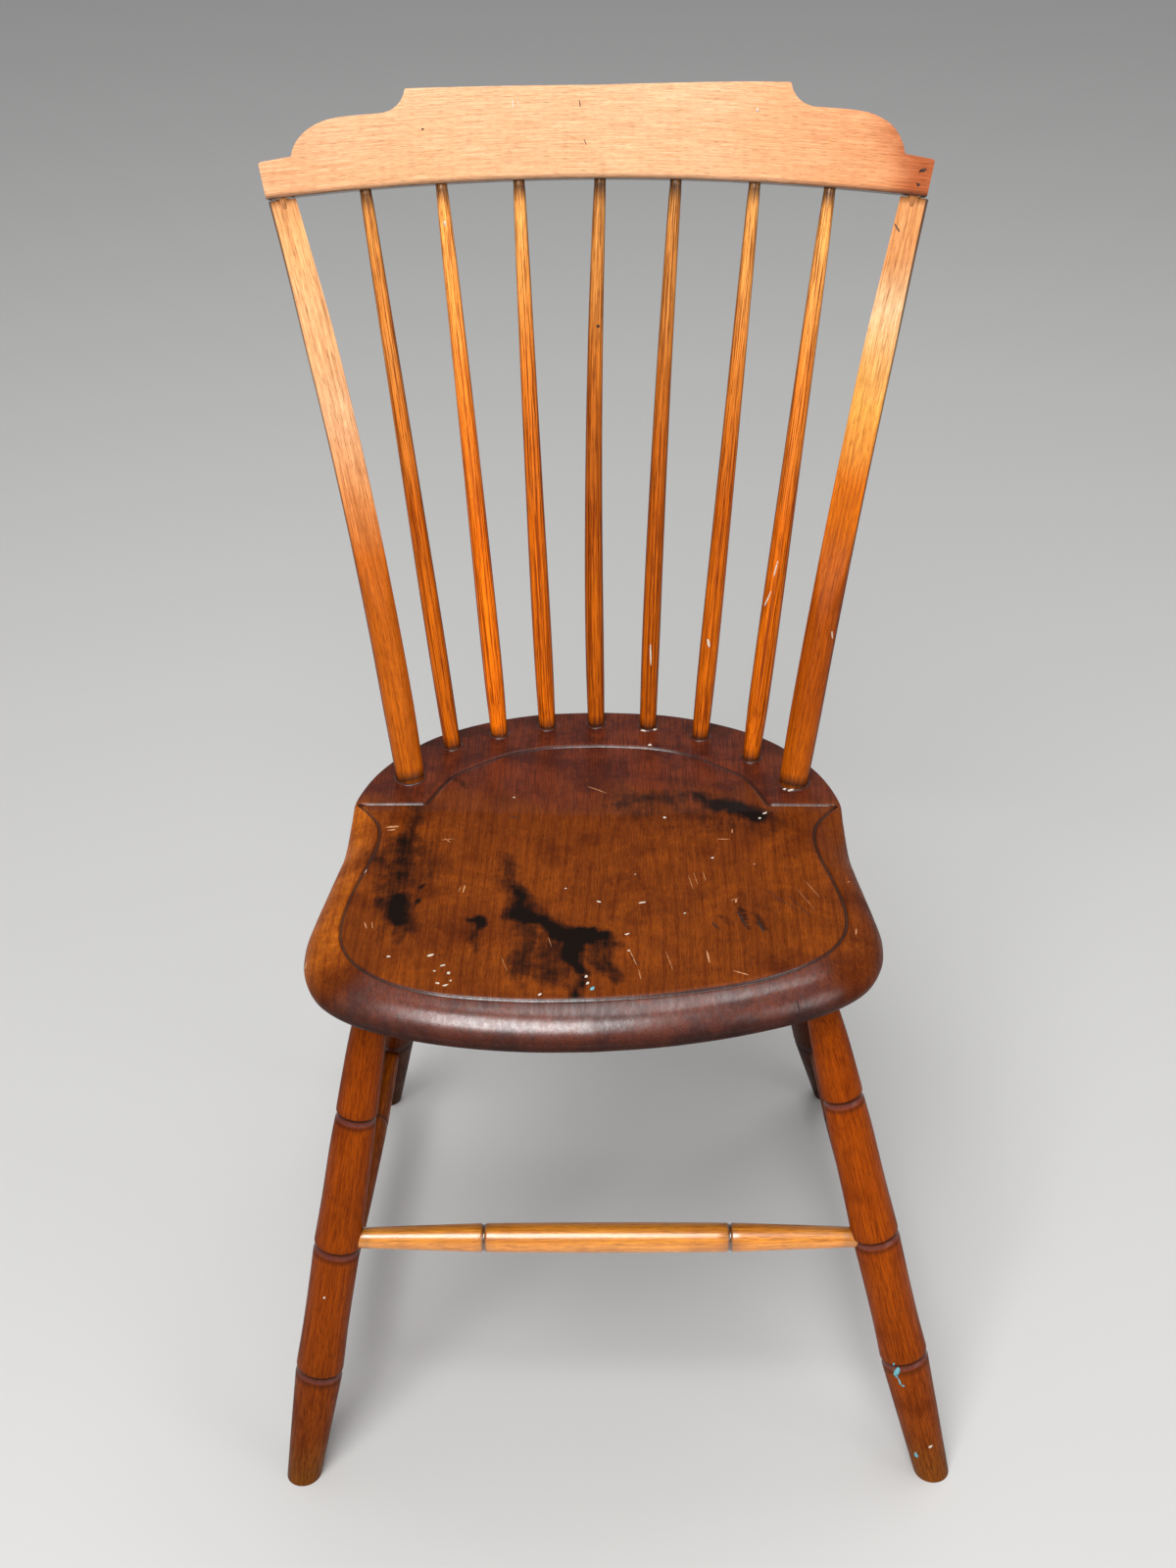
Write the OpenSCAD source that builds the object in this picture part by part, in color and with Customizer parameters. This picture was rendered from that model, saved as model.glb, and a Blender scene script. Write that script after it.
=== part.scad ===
// Stepped-crest Windsor side chair: a shaped plank seat on four bamboo-turned legs with a box of
// stretchers, and a back of two bent posts, seven spindles and a bent crest rail with stepped ends.
// Millimetres. X is to the right of someone facing the chair, Y to its back, Z up from the floor.

/* [Seat] */
// Height of the seat's top above the floor
seat_top = 431; // [415:1:450]
// Thickness of the seat plank
seat_t = 36; // [34:1:42]
// Depth of the hollow worked into the sitting area
dish = 4; // [1:0.5:6]
// Width of the scored line around the sitting area
score_w = 3.4; // [2:0.1:4.5]
// Depth of the scored line
score_d = 1.8; // [1:0.1:2.5]
// How much further back the seat's front edge runs on its right side than on its left, shaped by eye
hand_skew = 5.4; // [0:0.2:6]

/* [Legs] */
// Front legs: half the distance between their sockets in the seat
front_top_x = 145.5; // [138:0.5:150]
// Front legs: how far their sockets lie in front of the seat's reference line
front_top_y = 89; // [80:1:100]
// Back legs: half the distance between their sockets in the seat
back_top_x = 124.5; // [118:0.5:126]
// Back legs: how far their sockets lie behind the seat's reference line
back_top_y = 110; // [100:1:112]
// Front feet: half the distance between them
front_foot_x = 229; // [215:1:240]
// Front feet: distance in front of the seat's reference line
front_foot_y = 161.5; // [145:0.5:175]
// Back feet: half the distance between them
back_foot_x = 197; // [185:0.5:205]
// Back feet: distance behind the seat's reference line
back_foot_y = 257; // [240:0.5:270]
// Sideways set of the front feet, from legs bored by eye
front_set = 15; // [0:1:18]
// Diameter of a leg where it stands on the floor
foot_d = 24.4; // [22:0.2:26]
// Diameter of a leg at its lowest ring, its thickest place
leg_d = 33.4; // [31:0.2:35]
// Diameter of a leg's top where it enters the seat
leg_tenon_d = 19; // [17:0.2:21]

/* [Stretchers] */
// Height of the front and back stretchers
high_stretcher_z = 198; // [192:1:206]
// Height of the side stretchers
low_stretcher_z = 84; // [78:1:88]
// Diameter of a stretcher at its middle
stretcher_d = 21; // [18:0.2:22]
// Diameter of a stretcher's ends
stretcher_end_d = 14.6; // [13:0.2:15]

/* [Back] */
// Half the distance between the posts at the seat
post_x = 139.2; // [137:0.2:141]
// Distance of the posts behind the seat's reference line
post_y = 102.3; // [100:0.5:105]
// Diameter of a post's round part
post_d = 22.4; // [21:0.2:24]
// Width of a post's flat top
post_top_w = 17.4; // [15:0.2:19]
// How far a post was bent out of straight
post_bow = 9; // [6:0.5:12]
// Gap of the opened joint between a post and the crest rail
joint_gap = 1.6; // [0.2:0.1:2.5]
// Radius of the spindles' arc on the seat
spindle_arc_r = 178; // [172:1:184]
// Angle between two spindles on that arc
spindle_pitch_a = 12.7; // [12.2:0.1:12.9]
// Distance between two spindles at the crest rail
spindle_pitch_x = 54.4; // [53:0.2:56]
// Largest diameter of the thinnest spindle
spindle_d = 13.2; // [12.4:0.2:14]

/* [Crest rail] */
// Height of the crest rail's lower front edge
crest_z = 814.6; // [800:1:830]
// Half the length of that edge
crest_x = 226; // [222:1:230]
// Distance of the rail's ends behind the seat's reference line
crest_y = 243.8; // [235:1:255]
// How far the rail's middle lies behind its ends
crest_bow = 44.6; // [38:1:50]
// Backward tilt of the rail
crest_tilt = 22; // [18:0.5:24]
// Thickness of the rail
crest_t = 14; // [13:0.5:16]
// Height of the rail's middle part
crest_h = 65.3; // [62:0.5:70]
// Dip of the top edge at its middle
crest_dip = 2.2; // [0:0.2:3]

/* [Hidden] */

// Radial room for glue around every tenon
glue = 0.05;
// Cutters run this far past the surface that they cut
past = 60;
$fn = 64;

// The crest rail's ends: how much longer they are at the corner than at the lower edge, how high
// that corner is, and the angle that they are sawn at, which is a little less than square
crest_end_out = 4.5;
crest_end_h = 25;
crest_end_turn = 16;
// By how much the rail's left end is longer, and its right half higher
left_longer = 2;
right_rise = 3;
// The rail is bent to this radius, measured at right angles to its tilt
flat_bow = crest_bow * cos(crest_tilt);
crest_r = (crest_x * crest_x + flat_bow * flat_bow) / (2 * flat_bow);

// --- Vectors and frames ---------------------------------------------------------------------------

function unit(v) = v / norm(v);
function between(a, b, t) = a + (b - a) * t;
// The point of the line from a to b at height z
function at_height(a, b, z) = between(a, b, (z - a.z) / (b.z - a.z));
// A closed smooth curve through the points, with a few steps between each pair
function smooth_point(a, b, c, d, t) =
  0.5 * (2 * b + (c - a) * t + (2 * a - 5 * b + 4 * c - d) * t * t + (3 * b - a - 3 * c + d) * t * t * t);
function smooth_open(p, steps) = [
  for (i = [0:len(p) - 2])
    for (k = [0:steps - 1])
      smooth_point(p[max(i - 1, 0)], p[i], p[i + 1], p[min(i + 2, len(p) - 1)], k / steps)
];
function mirrored(p) = [for (q = p) [-q.x, q.y]];
function reversed(p) = [for (i = [len(p) - 1:-1:0]) p[i]];

// Puts its children's z axis on the line from a to b, and their -y side towards the front vector
module along(a, b, front = [0, -1, 0]) {
  z = unit(b - a);
  x = unit(cross(z, front));
  y = cross(z, x);
  multmatrix([
    [x.x, y.x, z.x, a.x],
    [x.y, y.y, z.y, a.y],
    [x.z, y.z, z.z, a.z],
    [0, 0, 0, 1]
  ]) children();
}

// The seat's front edge at its middle
seat_front = -179.5;
// The origin is under the middle of the whole chair: these are the extents that decide it
foot_reach = foot_d / 2 * 1.03;
middle_x = (front_foot_x + front_set + foot_reach - crest_x - crest_end_out - left_longer) / 2;
crest_back = crest_y + crest_bow + crest_h * sin(crest_tilt) + crest_t * cos(crest_tilt);
middle_y = (crest_back + seat_front) / 2;
module chair_frame() {
  translate([-middle_x, -middle_y, 0]) children();
}

// --- Seat -----------------------------------------------------------------------------------------

// Right half of the plank's outline, from the middle of its back to the middle of its front
half_outline = [
  [0, 201], [50, 196.5], [95, 181], [131, 156.5], [159, 118], [172.5, 80.5], [174.5, 54], [176.5, 27], [180, 2],
  [184, -25], [188, -53], [190.5, -78], [187.5, -104], [175, -129], [150, -148.5], [118, -161.5], [80, -171.5],
  [40, -177.5], [0, seat_front]
];
// Right half of the scored line: the arc in front of the spindles, the short line out to the edge,
// and the long curve along the side and the front
half_score_back = [[0, 149], [35, 146.5], [65, 137.5], [92, 119], [109, 101.5], [122, 69.5]];
half_score_front = [
  [171, 69], [160.5, 55], [154, 42], [152, 28], [153, 12], [157, -8], [161.5, -28], [165.5, -52], [166.5, -72],
  [164, -90], [156, -107], [143, -121], [123, -134], [92, -145], [43, -153], [0, -155]
];
// Edge profile as [inset from the outline, depth below the top], rolled at the front and sides and
// square at the back
roll = [[26, 0], [19, 0.9], [12.5, 3], [7, 6.6], [3, 11], [0.7, 15.5], [0, 18.5], [1, 22.5], [4.5, 26], [10, 28.2],
  [34, 1]];
square = [[26, 0], [15, 0], [5, 0], [2.6, 0.3], [1, 1.2], [0.2, 3], [0, 7], [0, 16], [0, 24], [1.5, 28], [12, 1]];
// The roll begins this far behind the reference line and is whole by roll_whole_y
roll_start_y = 72;
roll_whole_y = 14;
// The hollow is deepest here, and it ends this far from the scored line
dish_y = 18;
dish_rings = 5;

// The front half was shaped a little askew: its right side runs further back than its left
function skewed(p, share = 1) = [p.x, p.y + hand_skew * share * max(0, -p.y) * p.x / 16000];
function both_halves(h) = concat(h, reversed([for (q = mirrored(h)) if (abs(q.x) > 0.01) q]));
outline = [for (q = both_halves(concat(smooth_open(half_outline, 3), [[0, seat_front]]))) skewed(q)];
score_line = [
  for (q = both_halves(concat(smooth_open(half_score_back, 3), [half_score_back[5]],
    smooth_open(half_score_front, 3), [[0, -155]])))
    skewed(q, 1.35)
];
function inward(i) =
  let (n = len(outline), d = unit(outline[(i + 1) % n] - outline[(i + n - 1) % n]))
  [d.y, -d.x] * (outline_turn > 0 ? -1 : 1);
outline_turn = (outline[1].x - outline[0].x) * (outline[3].y - outline[0].y) > 0 ? 1 : -1;
function roll_share(y) =
  let (t = max(0, min(1, (roll_start_y - y) / (roll_start_y - roll_whole_y)))) t * t * (3 - 2 * t);
// One ring of the seat's skin: its inset and depth come from the two profiles
function edge_ring(k) = [
  for (i = [0:len(outline) - 1])
    let (
      s = roll_share(outline[i].y),
      e = between(square[k], roll[k], s),
      depth = k == len(roll) - 1 ? seat_t : e.y,
      p = outline[i] + inward(i) * e.x
    )
    [p.x, p.y, seat_top - depth]
];
function dish_ring(k) = [
  for (q = edge_ring(0))
    let (t = k / dish_rings, c = [0, dish_y, seat_top - dish], p = between(q, c, t))
    [p.x, p.y, seat_top - dish * t * t * (3 - 2 * t)]
];
module seat_blank() {
  n = len(outline);
  rings = concat([for (k = [dish_rings - 1:-1:1]) dish_ring(k)], [for (k = [0:len(roll) - 1]) edge_ring(k)]);
  m = len(rings);
  points = concat([for (r = rings) each r], [[0, dish_y, seat_top - dish]]);
  tip = m * n;
  walls = [
    for (r = [0:m - 2])
      for (i = [0:n - 1])
        let (j = (i + 1) % n)
        each [[r * n + i, r * n + j, (r + 1) * n + j], [r * n + i, (r + 1) * n + j, (r + 1) * n + i]]
  ];
  cap = [for (i = [0:n - 1]) [tip, (i + 1) % n, i]];
  base = [[for (i = [0:n - 1]) (m - 1) * n + i]];
  polyhedron(points, concat(cap, walls, base));
}

module score_cut() {
  translate([0, 0, seat_top - score_d])
    linear_extrude(past)
      difference() {
        offset(delta = score_w / 2) polygon(score_line);
        offset(delta = -score_w / 2) polygon(score_line);
      }
}

module seat() {
  color("#7a3a12")
    chair_frame()
      difference() {
        seat_blank();
        score_cut();
        for (i = [0:3])
          along(leg_top(i), leg_foot(i))
            translate([0, 0, -leg_socket[i]]) cylinder(r = leg_tenon_d / 2 + glue, h = past);
        for (side = [-1, 1])
          along(post_foot(side), post_head(side))
            translate([0, 0, -post_socket]) cylinder(r = post_tenon_r + glue, h = past);
        for (i = [1:7])
          along(spindle_foot(i), spindle_head(i))
            translate([0, 0, -spindle_socket]) cylinder(r = spindle_foot_r + glue, h = past);
      }
}

// --- Legs -----------------------------------------------------------------------------------------

// Legs in order: front left, front right, back left, back right
leg_side = [-1, 1, -1, 1];
leg_is_front = [true, true, false, false];
// Rings along each leg from its foot, and a leg's diameter half-way between them. The legs were turned
// and trimmed by eye, so that no two agree.
leg_rings = [[94, 198.5, 304.5], [105.5, 209.5, 323], [109, 214, 322], [104, 209, 318]];
ring_dia = [leg_d, leg_d - 0.8, leg_d - 5.4];
ring_w = 5.6;
ring_depth = 1.5;
// The back legs' sockets are shallow, because the posts' sockets come down to meet them
leg_socket = [24, 24, 13, 13];
seat_under = seat_top - seat_t;
function leg_top(i) = leg_is_front[i]
  ? [leg_side[i] * front_top_x + 0.7, -front_top_y, seat_under]
  : [leg_side[i] * back_top_x - 7.2, back_top_y, seat_under];
function leg_foot(i) = leg_is_front[i]
  ? [leg_side[i] * front_foot_x + front_set, -front_foot_y + leg_side[i] * 4, 0]
  : [leg_side[i] * back_foot_x + 3.2, back_foot_y + leg_side[i] * 4.8, 0];

// A scored ring: straight above, and sloping out below, as [radius, height along the leg]
function ring_points(r, z) = [
  [r, z - ring_w / 2], [r - 0.4 * ring_depth, z - ring_w * 0.2], [r - ring_depth, z + ring_w * 0.22],
  [r + 0.1, z + ring_w / 2]
];
module leg_blank(z, length, socket) {
  r = ring_dia / 2;
  tenon_r = leg_tenon_d / 2;
  rotate_extrude()
    polygon(concat(
      [[0, -20], [foot_d / 2 - 0.9, -20], [foot_d / 2, 0], [foot_d / 2 + 2.4, z[0] / 2]],
      ring_points(r[0], z[0]),
      [[r[0] - 0.7, between(z[0], z[1], 0.35)], [r[0] - 0.7, between(z[0], z[1], 0.7)]],
      ring_points(r[1], z[1]),
      [[r[1] - 0.9, between(z[1], z[2], 0.35)], [r[2] + 0.9, between(z[1], z[2], 0.75)]],
      ring_points(r[2], z[2]),
      [[tenon_r, length - 7], [tenon_r, length + socket - 2], [0, length + socket - 2]]
    ));
}
module leg(i) {
  color("#96440c")
    chair_frame()
      difference() {
        along(leg_foot(i), leg_top(i))
          leg_blank(leg_rings[i], norm(leg_top(i) - leg_foot(i)), leg_socket[i]);
        translate([-400, -400, -100]) cube([800, 800, 100]);
        for (s = [0:3])
          if (stretcher_legs[s][0] == i || stretcher_legs[s][1] == i)
            stretcher_socket(s, i);
      }
}

// --- Stretchers -----------------------------------------------------------------------------------

// Stretchers in order: front, back, left, right, with the two legs that each one joins
stretcher_legs = [[0, 1], [2, 3], [0, 2], [1, 3]];
stretcher_z = [high_stretcher_z, high_stretcher_z, low_stretcher_z, low_stretcher_z];
// A tenon runs this far past a leg's centre line
tenon_past = 4;
// Rings lie this share of the length to each side of the middle
stretcher_ring_at = 0.228;
function stretcher_end(s, e) =
  let (i = stretcher_legs[s][e]) at_height(leg_foot(i), leg_top(i), stretcher_z[s]);

module stretcher_socket(s, i) {
  e = stretcher_legs[s][0] == i ? 0 : 1;
  along(stretcher_end(s, e), stretcher_end(s, 1 - e))
    translate([0, 0, -tenon_past - 1]) cylinder(r = stretcher_end_d / 2 + glue, h = past);
}
module stretcher(s) {
  a = stretcher_end(s, 0);
  b = stretcher_end(s, 1);
  length = norm(b - a);
  end_r = stretcher_end_d / 2;
  r = stretcher_d / 2;
  ring_r = r - 0.4;
  rings = [length * (0.5 - stretcher_ring_at), length * (0.5 + stretcher_ring_at)];
  color("#c46a14")
    chair_frame()
      along(a, b)
        rotate_extrude()
          polygon(concat(
            [[0, -tenon_past], [end_r, -tenon_past], [end_r, leg_d / 2 + 4]],
            stretcher_ring(ring_r, rings[0]),
            [[r, length * 0.42], [r, length * 0.58]],
            stretcher_ring(ring_r, rings[1]),
            [[end_r, length - leg_d / 2 - 4], [end_r, length + tenon_past], [0, length + tenon_past]]
          ));
}
function stretcher_ring(r, z) = [[r, z - 1.6], [r - 1.1, z - 0.5], [r - 1.1, z + 0.5], [r, z + 1.6]];

// --- Back posts -----------------------------------------------------------------------------------

post_tenon_r = 9.6;
post_socket = 16;
post_head_tenon_r = 4.5;
post_head_tenon = 14;
// Where a post's axis meets the crest rail
post_head_x = 216.4;
// The front of a post is shaved flat from flat_from to flat_whole of its height, down to flat_depth
// from its axis, and its sides are narrowed from narrow_from upwards
flat_from = 0.25;
flat_whole = 0.44;
flat_depth = 3.4;
narrow_from = 0.55;
post_steps = 18;
post_sides = 32;
function post_foot(side) = [side * post_x + 2.3, post_y - side * 3, seat_top];
function post_head(side) = crest_point(side * post_head_x, crest_t / 2);
function post_front(side) = [-side * sin(post_turn), -cos(post_turn), 0];
post_turn = asin(post_head_x / crest_r);
function bent(f) = 4 * f * (1 - f);
// How a post's bow is shared out: towards the middle of the back, on the left and on the right, and
// forwards
function bow_in(side) = side < 0 ? 0.52 : 0.17;
bow_forward = 0.9;
function ease(a, b, f) = let (t = max(0, min(1, (f - a) / (b - a)))) t * t * (3 - 2 * t);

// One cross-section of a post at height share f: a circle with its front shaved flat and its sides
// narrowed
function post_section(side, length, f) =
  let (
    r = post_d / 2 - 0.9 * max(0, 0.12 - f) / 0.12,
    flat = between(r + 1, flat_depth, ease(flat_from, flat_whole, f)),
    half = between(r + 1, post_top_w / 2, ease(narrow_from, 1.05, f)),
    c = post_bow * bent(f) * [-side * bow_in(side), -bow_forward]
  )
  [
    for (k = [0:post_sides - 1])
      let (a = 360 * (k + 0.5) / post_sides, x = r * cos(a), y = r * sin(a))
      [c.x + sign(x) * shaved(abs(x), half), c.y - shaved(-y, flat), f * length]
  ];
// A distance shaved down to a limit, with a trace of its roundness left
function shaved(d, limit) = d > limit ? limit + 0.04 * (d - limit) : d;

module post_blank(side, length) {
  n = post_sides;
  f = [for (k = [-1:post_steps + 1]) k / post_steps];
  m = len(f);
  points = [for (q = f) each post_section(side, length, q)];
  walls = [
    for (r = [0:m - 2])
      for (i = [0:n - 1])
        let (j = (i + 1) % n)
        each [[r * n + i, (r + 1) * n + j, r * n + j], [r * n + i, (r + 1) * n + i, (r + 1) * n + j]]
  ];
  ends = [[for (i = [0:n - 1]) i], [for (i = [n - 1:-1:0]) (m - 1) * n + i]];
  polyhedron(points, concat(walls, ends));
}
module post(side) {
  a = post_foot(side);
  b = post_head(side);
  length = norm(b - a);
  color("#b8651c")
    chair_frame()
      union() {
        difference() {
          along(a, b, post_front(side)) post_blank(side, length);
          translate([-400, -400, seat_top - 100]) cube([800, 800, 100]);
          translate([0, 0, -joint_gap]) above_crest_edge();
        }
        along(a, b, post_front(side)) {
          translate([0, 0, 1 - post_socket]) cylinder(r = post_tenon_r, h = post_socket + 4);
          translate([0, 0, length - 6]) cylinder(r = post_head_tenon_r, h = 6 + post_head_tenon - 1);
        }
      }
}

// --- Spindles -------------------------------------------------------------------------------------

spindle_socket = 24;
spindle_head_socket = 15;
spindle_foot_r = 6;
spindle_head_r = 4.1;
// Spindles 1 to 7 run from left to right. Their seat holes were bored a little off the true arc, their
// rail holes a little off the true pitch, and some were left thicker than others.
foot_wander = [[0.5, 5.8], [1.1, 2.1], [-0.4, 0.9], [-2.5, 0.2], [-2.6, 1.1], [-0.7, -1], [2.4, -10.9]];
head_wander = [2.2, -0.4, -1, 1.4, 0, 0.2, -3];
more_d = [0.2, 1.2, 0.8, 0.6, 0.2, 0.7, 1.8];
function spindle_foot(i) =
  let (
    a = (i - 4) * spindle_pitch_a,
    x = spindle_arc_r * sin(a),
    y = 181.3 - spindle_arc_r * (1 - cos(a))
  )
  concat([x, y] + foot_wander[i - 1], [seat_top]);
function spindle_head(i) = crest_point((i - 4) * spindle_pitch_x + head_wander[i - 1], crest_t / 2);

module spindle(i) {
  a = spindle_foot(i);
  b = spindle_head(i);
  length = norm(b - a);
  r = (spindle_d + more_d[i - 1]) / 2;
  color("#bd6410")
    chair_frame()
      along(a, b)
        rotate_extrude()
          polygon([
            [0, 1 - spindle_socket], [spindle_foot_r, 1 - spindle_socket], [spindle_foot_r, 3], [r - 0.15, 0.09 * length],
            [r, 0.18 * length], [r - 0.15, 0.29 * length], [r * 0.9, 0.48 * length], [r * 0.81, 0.68 * length],
            [r * 0.71, 0.87 * length], [spindle_head_r, length - 12],
            [spindle_head_r, length + spindle_head_socket - 1], [0, length + spindle_head_socket - 1]
          ]);
}

// --- Crest rail -----------------------------------------------------------------------------------

// The rail is a board bent round a cylinder that leans back by the tilt. Its lower edge is cut as an
// arch, so that the bent edge runs level.
edge_steps = 24;
function arch(x) = -crest_bow * sin(crest_tilt) * pow(x / crest_x, 2);
function arched(p) = [for (q = p) [q.x, q.y + arch(q.x)]];
function to_chair(p) = [
  p.x,
  crest_y + crest_bow + p.y * cos(crest_tilt) + p.z * sin(crest_tilt),
  crest_z - p.y * sin(crest_tilt) + p.z * cos(crest_tilt)
];
// A point on the lower edge at x, this deep behind the front face
function crest_point(x, depth) =
  let (a = asin(x / crest_r))
  to_chair([(crest_r + depth) * sin(a), (crest_r + depth) * cos(a) - crest_r, arch(x)]);

// Right half of the rail's outline, from its lower corner to the middle of its top
round_c = [178, 25];
round_r = [33, 24.5];
hollow_c = [151, 67];
hollow_r = 17;
function half_crest(longer) = concat(
  [[crest_x + longer, 0], [crest_x + longer + crest_end_out, crest_end_h - 1],
    [crest_x + longer + crest_end_out - 1.5, crest_end_h], [round_c.x + round_r.x + 1, crest_end_h + 1.5]],
  [for (a = [4:8:84]) round_c + [round_r.x * cos(a), round_r.y * sin(a)]],
  [[round_c.x - 4, round_c.y + round_r.y + 0.3]],
  [for (a = [-90:-10:-170]) hollow_c + hollow_r * [cos(a), sin(a)]],
  [for (x = [133.5:-16.6875:16]) [x, crest_h - crest_dip * (1 - pow(x / 133.5, 2))]]
);
// The rail's right half was sawn a little higher than its left
function sawn(q) = [q.x, q.y + right_rise * max(0, min(1, q.x / 110)) * max(0, min(1, (q.y - 28) / 14))];
lower_edge = [for (k = [-edge_steps:edge_steps]) [crest_x * k / edge_steps, 0]];
crest_outline = arched([
  for (q = concat(lower_edge, half_crest(0), [[0, crest_h - crest_dip]], reversed(mirrored(half_crest(left_longer)))))
    sawn(q)
]);

module crest_frame() {
  translate([0, crest_y + crest_bow, crest_z]) rotate([-crest_tilt, 0, 0]) children();
}
module through_rail(depth) {
  rotate([90, 0, 0]) linear_extrude(depth, center = true) children();
}
// Everything above the rail's lower edge, to trim the posts against
module above_crest_edge() {
  wide = [for (k = [-edge_steps - 3:edge_steps + 3]) [crest_x * k / edge_steps, 0]];
  top = crest_h + past;
  crest_frame()
    through_rail(400)
      polygon(concat(arched(wide), [[wide[len(wide) - 1].x, top], [wide[0].x, top]]));
}
module crest_rail() {
  color("#d99a5e")
    chair_frame()
      difference() {
        crest_frame()
          difference() {
            intersection() {
              translate([0, -crest_r, -past])
                difference() {
                  cylinder(r = crest_r + crest_t, h = 3 * past, $fn = 360);
                  translate([0, 0, -1]) cylinder(r = crest_r, h = 3 * past + 2, $fn = 360);
                }
              through_rail(400) polygon(crest_outline);
            }
            for (side = [-1, 1])
              mirror([side < 0 ? 1 : 0, 0, 0])
                translate([crest_x + (side < 0 ? left_longer : 0) - 1.5, -flat_bow, -past])
                  rotate([0, 7, -crest_end_turn]) translate([0, -past, 0]) cube([past, 2 * past, 3 * past]);
          }
        for (side = [-1, 1])
          along(post_head(side), post_foot(side))
            translate([0, 0, -post_head_tenon]) cylinder(r = post_head_tenon_r + glue, h = past);
        for (i = [1:7])
          along(spindle_head(i), spindle_foot(i))
            translate([0, 0, -spindle_head_socket]) cylinder(r = spindle_head_r + glue, h = past);
      }
}

seat();
leg(0);  // leg_front_left
leg(1);  // leg_front_right
leg(2);  // leg_back_left
leg(3);  // leg_back_right
stretcher(0);  // stretcher_front
stretcher(1);  // stretcher_back
stretcher(2);  // stretcher_left
stretcher(3);  // stretcher_right
post(-1);  // post_left
post(1);  // post_right
spindle(1);  // spindle_1
spindle(2);  // spindle_2
spindle(3);  // spindle_3
spindle(4);  // spindle_4
spindle(5);  // spindle_5
spindle(6);  // spindle_6
spindle(7);  // spindle_7
crest_rail();
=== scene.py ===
# %% [markdown]
# # A step-down Windsor side chair
# This lesson dresses a wooden side chair whose solids were made in a CAD program. The solids are loaded
# as a fixed frame, in metres: X is to the right of someone who faces the chair, Y runs to its back and
# Z is up. The CAD solids are exact but bare and hard-edged. Each one is modelled again here as a mesh
# that stands in the same place, with softened edges and with the marks of hand work and long use.

# %% Load the frame
import math
import random
import bmesh
import bpy
from mathutils import Matrix, Vector
from mathutils.bvhtree import BVHTree
from mathutils.noise import noise as noise_at


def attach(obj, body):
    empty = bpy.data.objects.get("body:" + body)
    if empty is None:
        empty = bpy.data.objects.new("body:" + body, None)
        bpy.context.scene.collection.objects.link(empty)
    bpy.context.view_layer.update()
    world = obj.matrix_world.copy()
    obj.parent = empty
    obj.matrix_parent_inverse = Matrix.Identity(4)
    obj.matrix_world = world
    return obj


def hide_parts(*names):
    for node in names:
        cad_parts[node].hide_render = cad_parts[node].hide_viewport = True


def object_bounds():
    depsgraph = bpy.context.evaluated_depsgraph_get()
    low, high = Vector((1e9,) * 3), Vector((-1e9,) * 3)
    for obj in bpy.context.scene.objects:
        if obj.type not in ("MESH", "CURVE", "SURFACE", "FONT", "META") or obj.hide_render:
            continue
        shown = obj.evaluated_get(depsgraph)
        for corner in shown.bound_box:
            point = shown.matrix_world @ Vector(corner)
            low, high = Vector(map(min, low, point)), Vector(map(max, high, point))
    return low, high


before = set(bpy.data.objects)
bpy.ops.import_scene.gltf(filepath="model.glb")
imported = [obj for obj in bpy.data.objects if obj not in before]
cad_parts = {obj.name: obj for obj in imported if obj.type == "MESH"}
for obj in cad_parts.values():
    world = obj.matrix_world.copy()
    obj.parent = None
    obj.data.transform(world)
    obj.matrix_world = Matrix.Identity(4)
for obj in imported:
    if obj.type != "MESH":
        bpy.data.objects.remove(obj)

cad_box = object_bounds()
scene = bpy.context.scene
print("nodes:", sorted(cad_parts))

# %% [markdown]
# ## Camera
# A longer lens than a phone's usual one keeps the legs and back from splaying. The camera stands in front
# of the chair, well above the crest rail, and looks down at it. Its axes are worked out from how far
# it looks down, how far it is turned and how far it is tipped, because the three can then be read off.

# %% Camera
CAMERA_AT = Vector((0.013775, -1.29461, 1.26995))
LOOK_DOWN = math.radians(32.473)
TURN = math.radians(-1.434)
TIP = math.radians(-0.664)


def aim(place, down, turn, tip):
    ahead = Vector((math.sin(turn) * math.cos(down), math.cos(turn) * math.cos(down), -math.sin(down)))
    level = Vector((math.cos(turn), -math.sin(turn), 0))
    above = level.cross(ahead)
    right = math.cos(tip) * level + math.sin(tip) * above
    up = -math.sin(tip) * level + math.cos(tip) * above
    axes = Matrix((right, up, -ahead)).transposed()
    return Matrix.Translation(place) @ axes.to_4x4()


camera = bpy.data.objects.new("camera", bpy.data.cameras.new("camera"))
camera.data.sensor_fit = "VERTICAL"
camera.data.sensor_height = 36
camera.data.lens = 49.5
camera.matrix_world = aim(CAMERA_AT, LOOK_DOWN, TURN, TIP)
scene.collection.objects.link(camera)
scene.camera = camera
scene.view_settings.view_transform = "Standard"

# %% [markdown]
# ## Floor and light
# The floor is pale and plain. Three soft lamps and an even, dim world light the chair at a level at which
# a colour comes out about as it was chosen, so the finishes can be judged by eye. The largest lamp hangs
# in front of the chair and above it, because the rolled edge of the seat shines where it mirrors it.

# %% Floor
floor = bpy.data.objects.new("floor", bpy.data.meshes.new("floor"))
bm = bmesh.new()
bmesh.ops.create_grid(bm, x_segments=1, y_segments=1, size=15)
bm.to_mesh(floor.data)
bm.free()
scene.collection.objects.link(floor)

floor_paint = bpy.data.materials.new("floor_paint")
floor_paint.use_nodes = True
floor_paint.node_tree.nodes["Principled BSDF"].inputs["Base Color"].default_value = (0.7, 0.695, 0.68, 1)
floor_paint.node_tree.nodes["Principled BSDF"].inputs["Roughness"].default_value = 0.8
floor.data.materials.append(floor_paint)

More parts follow.
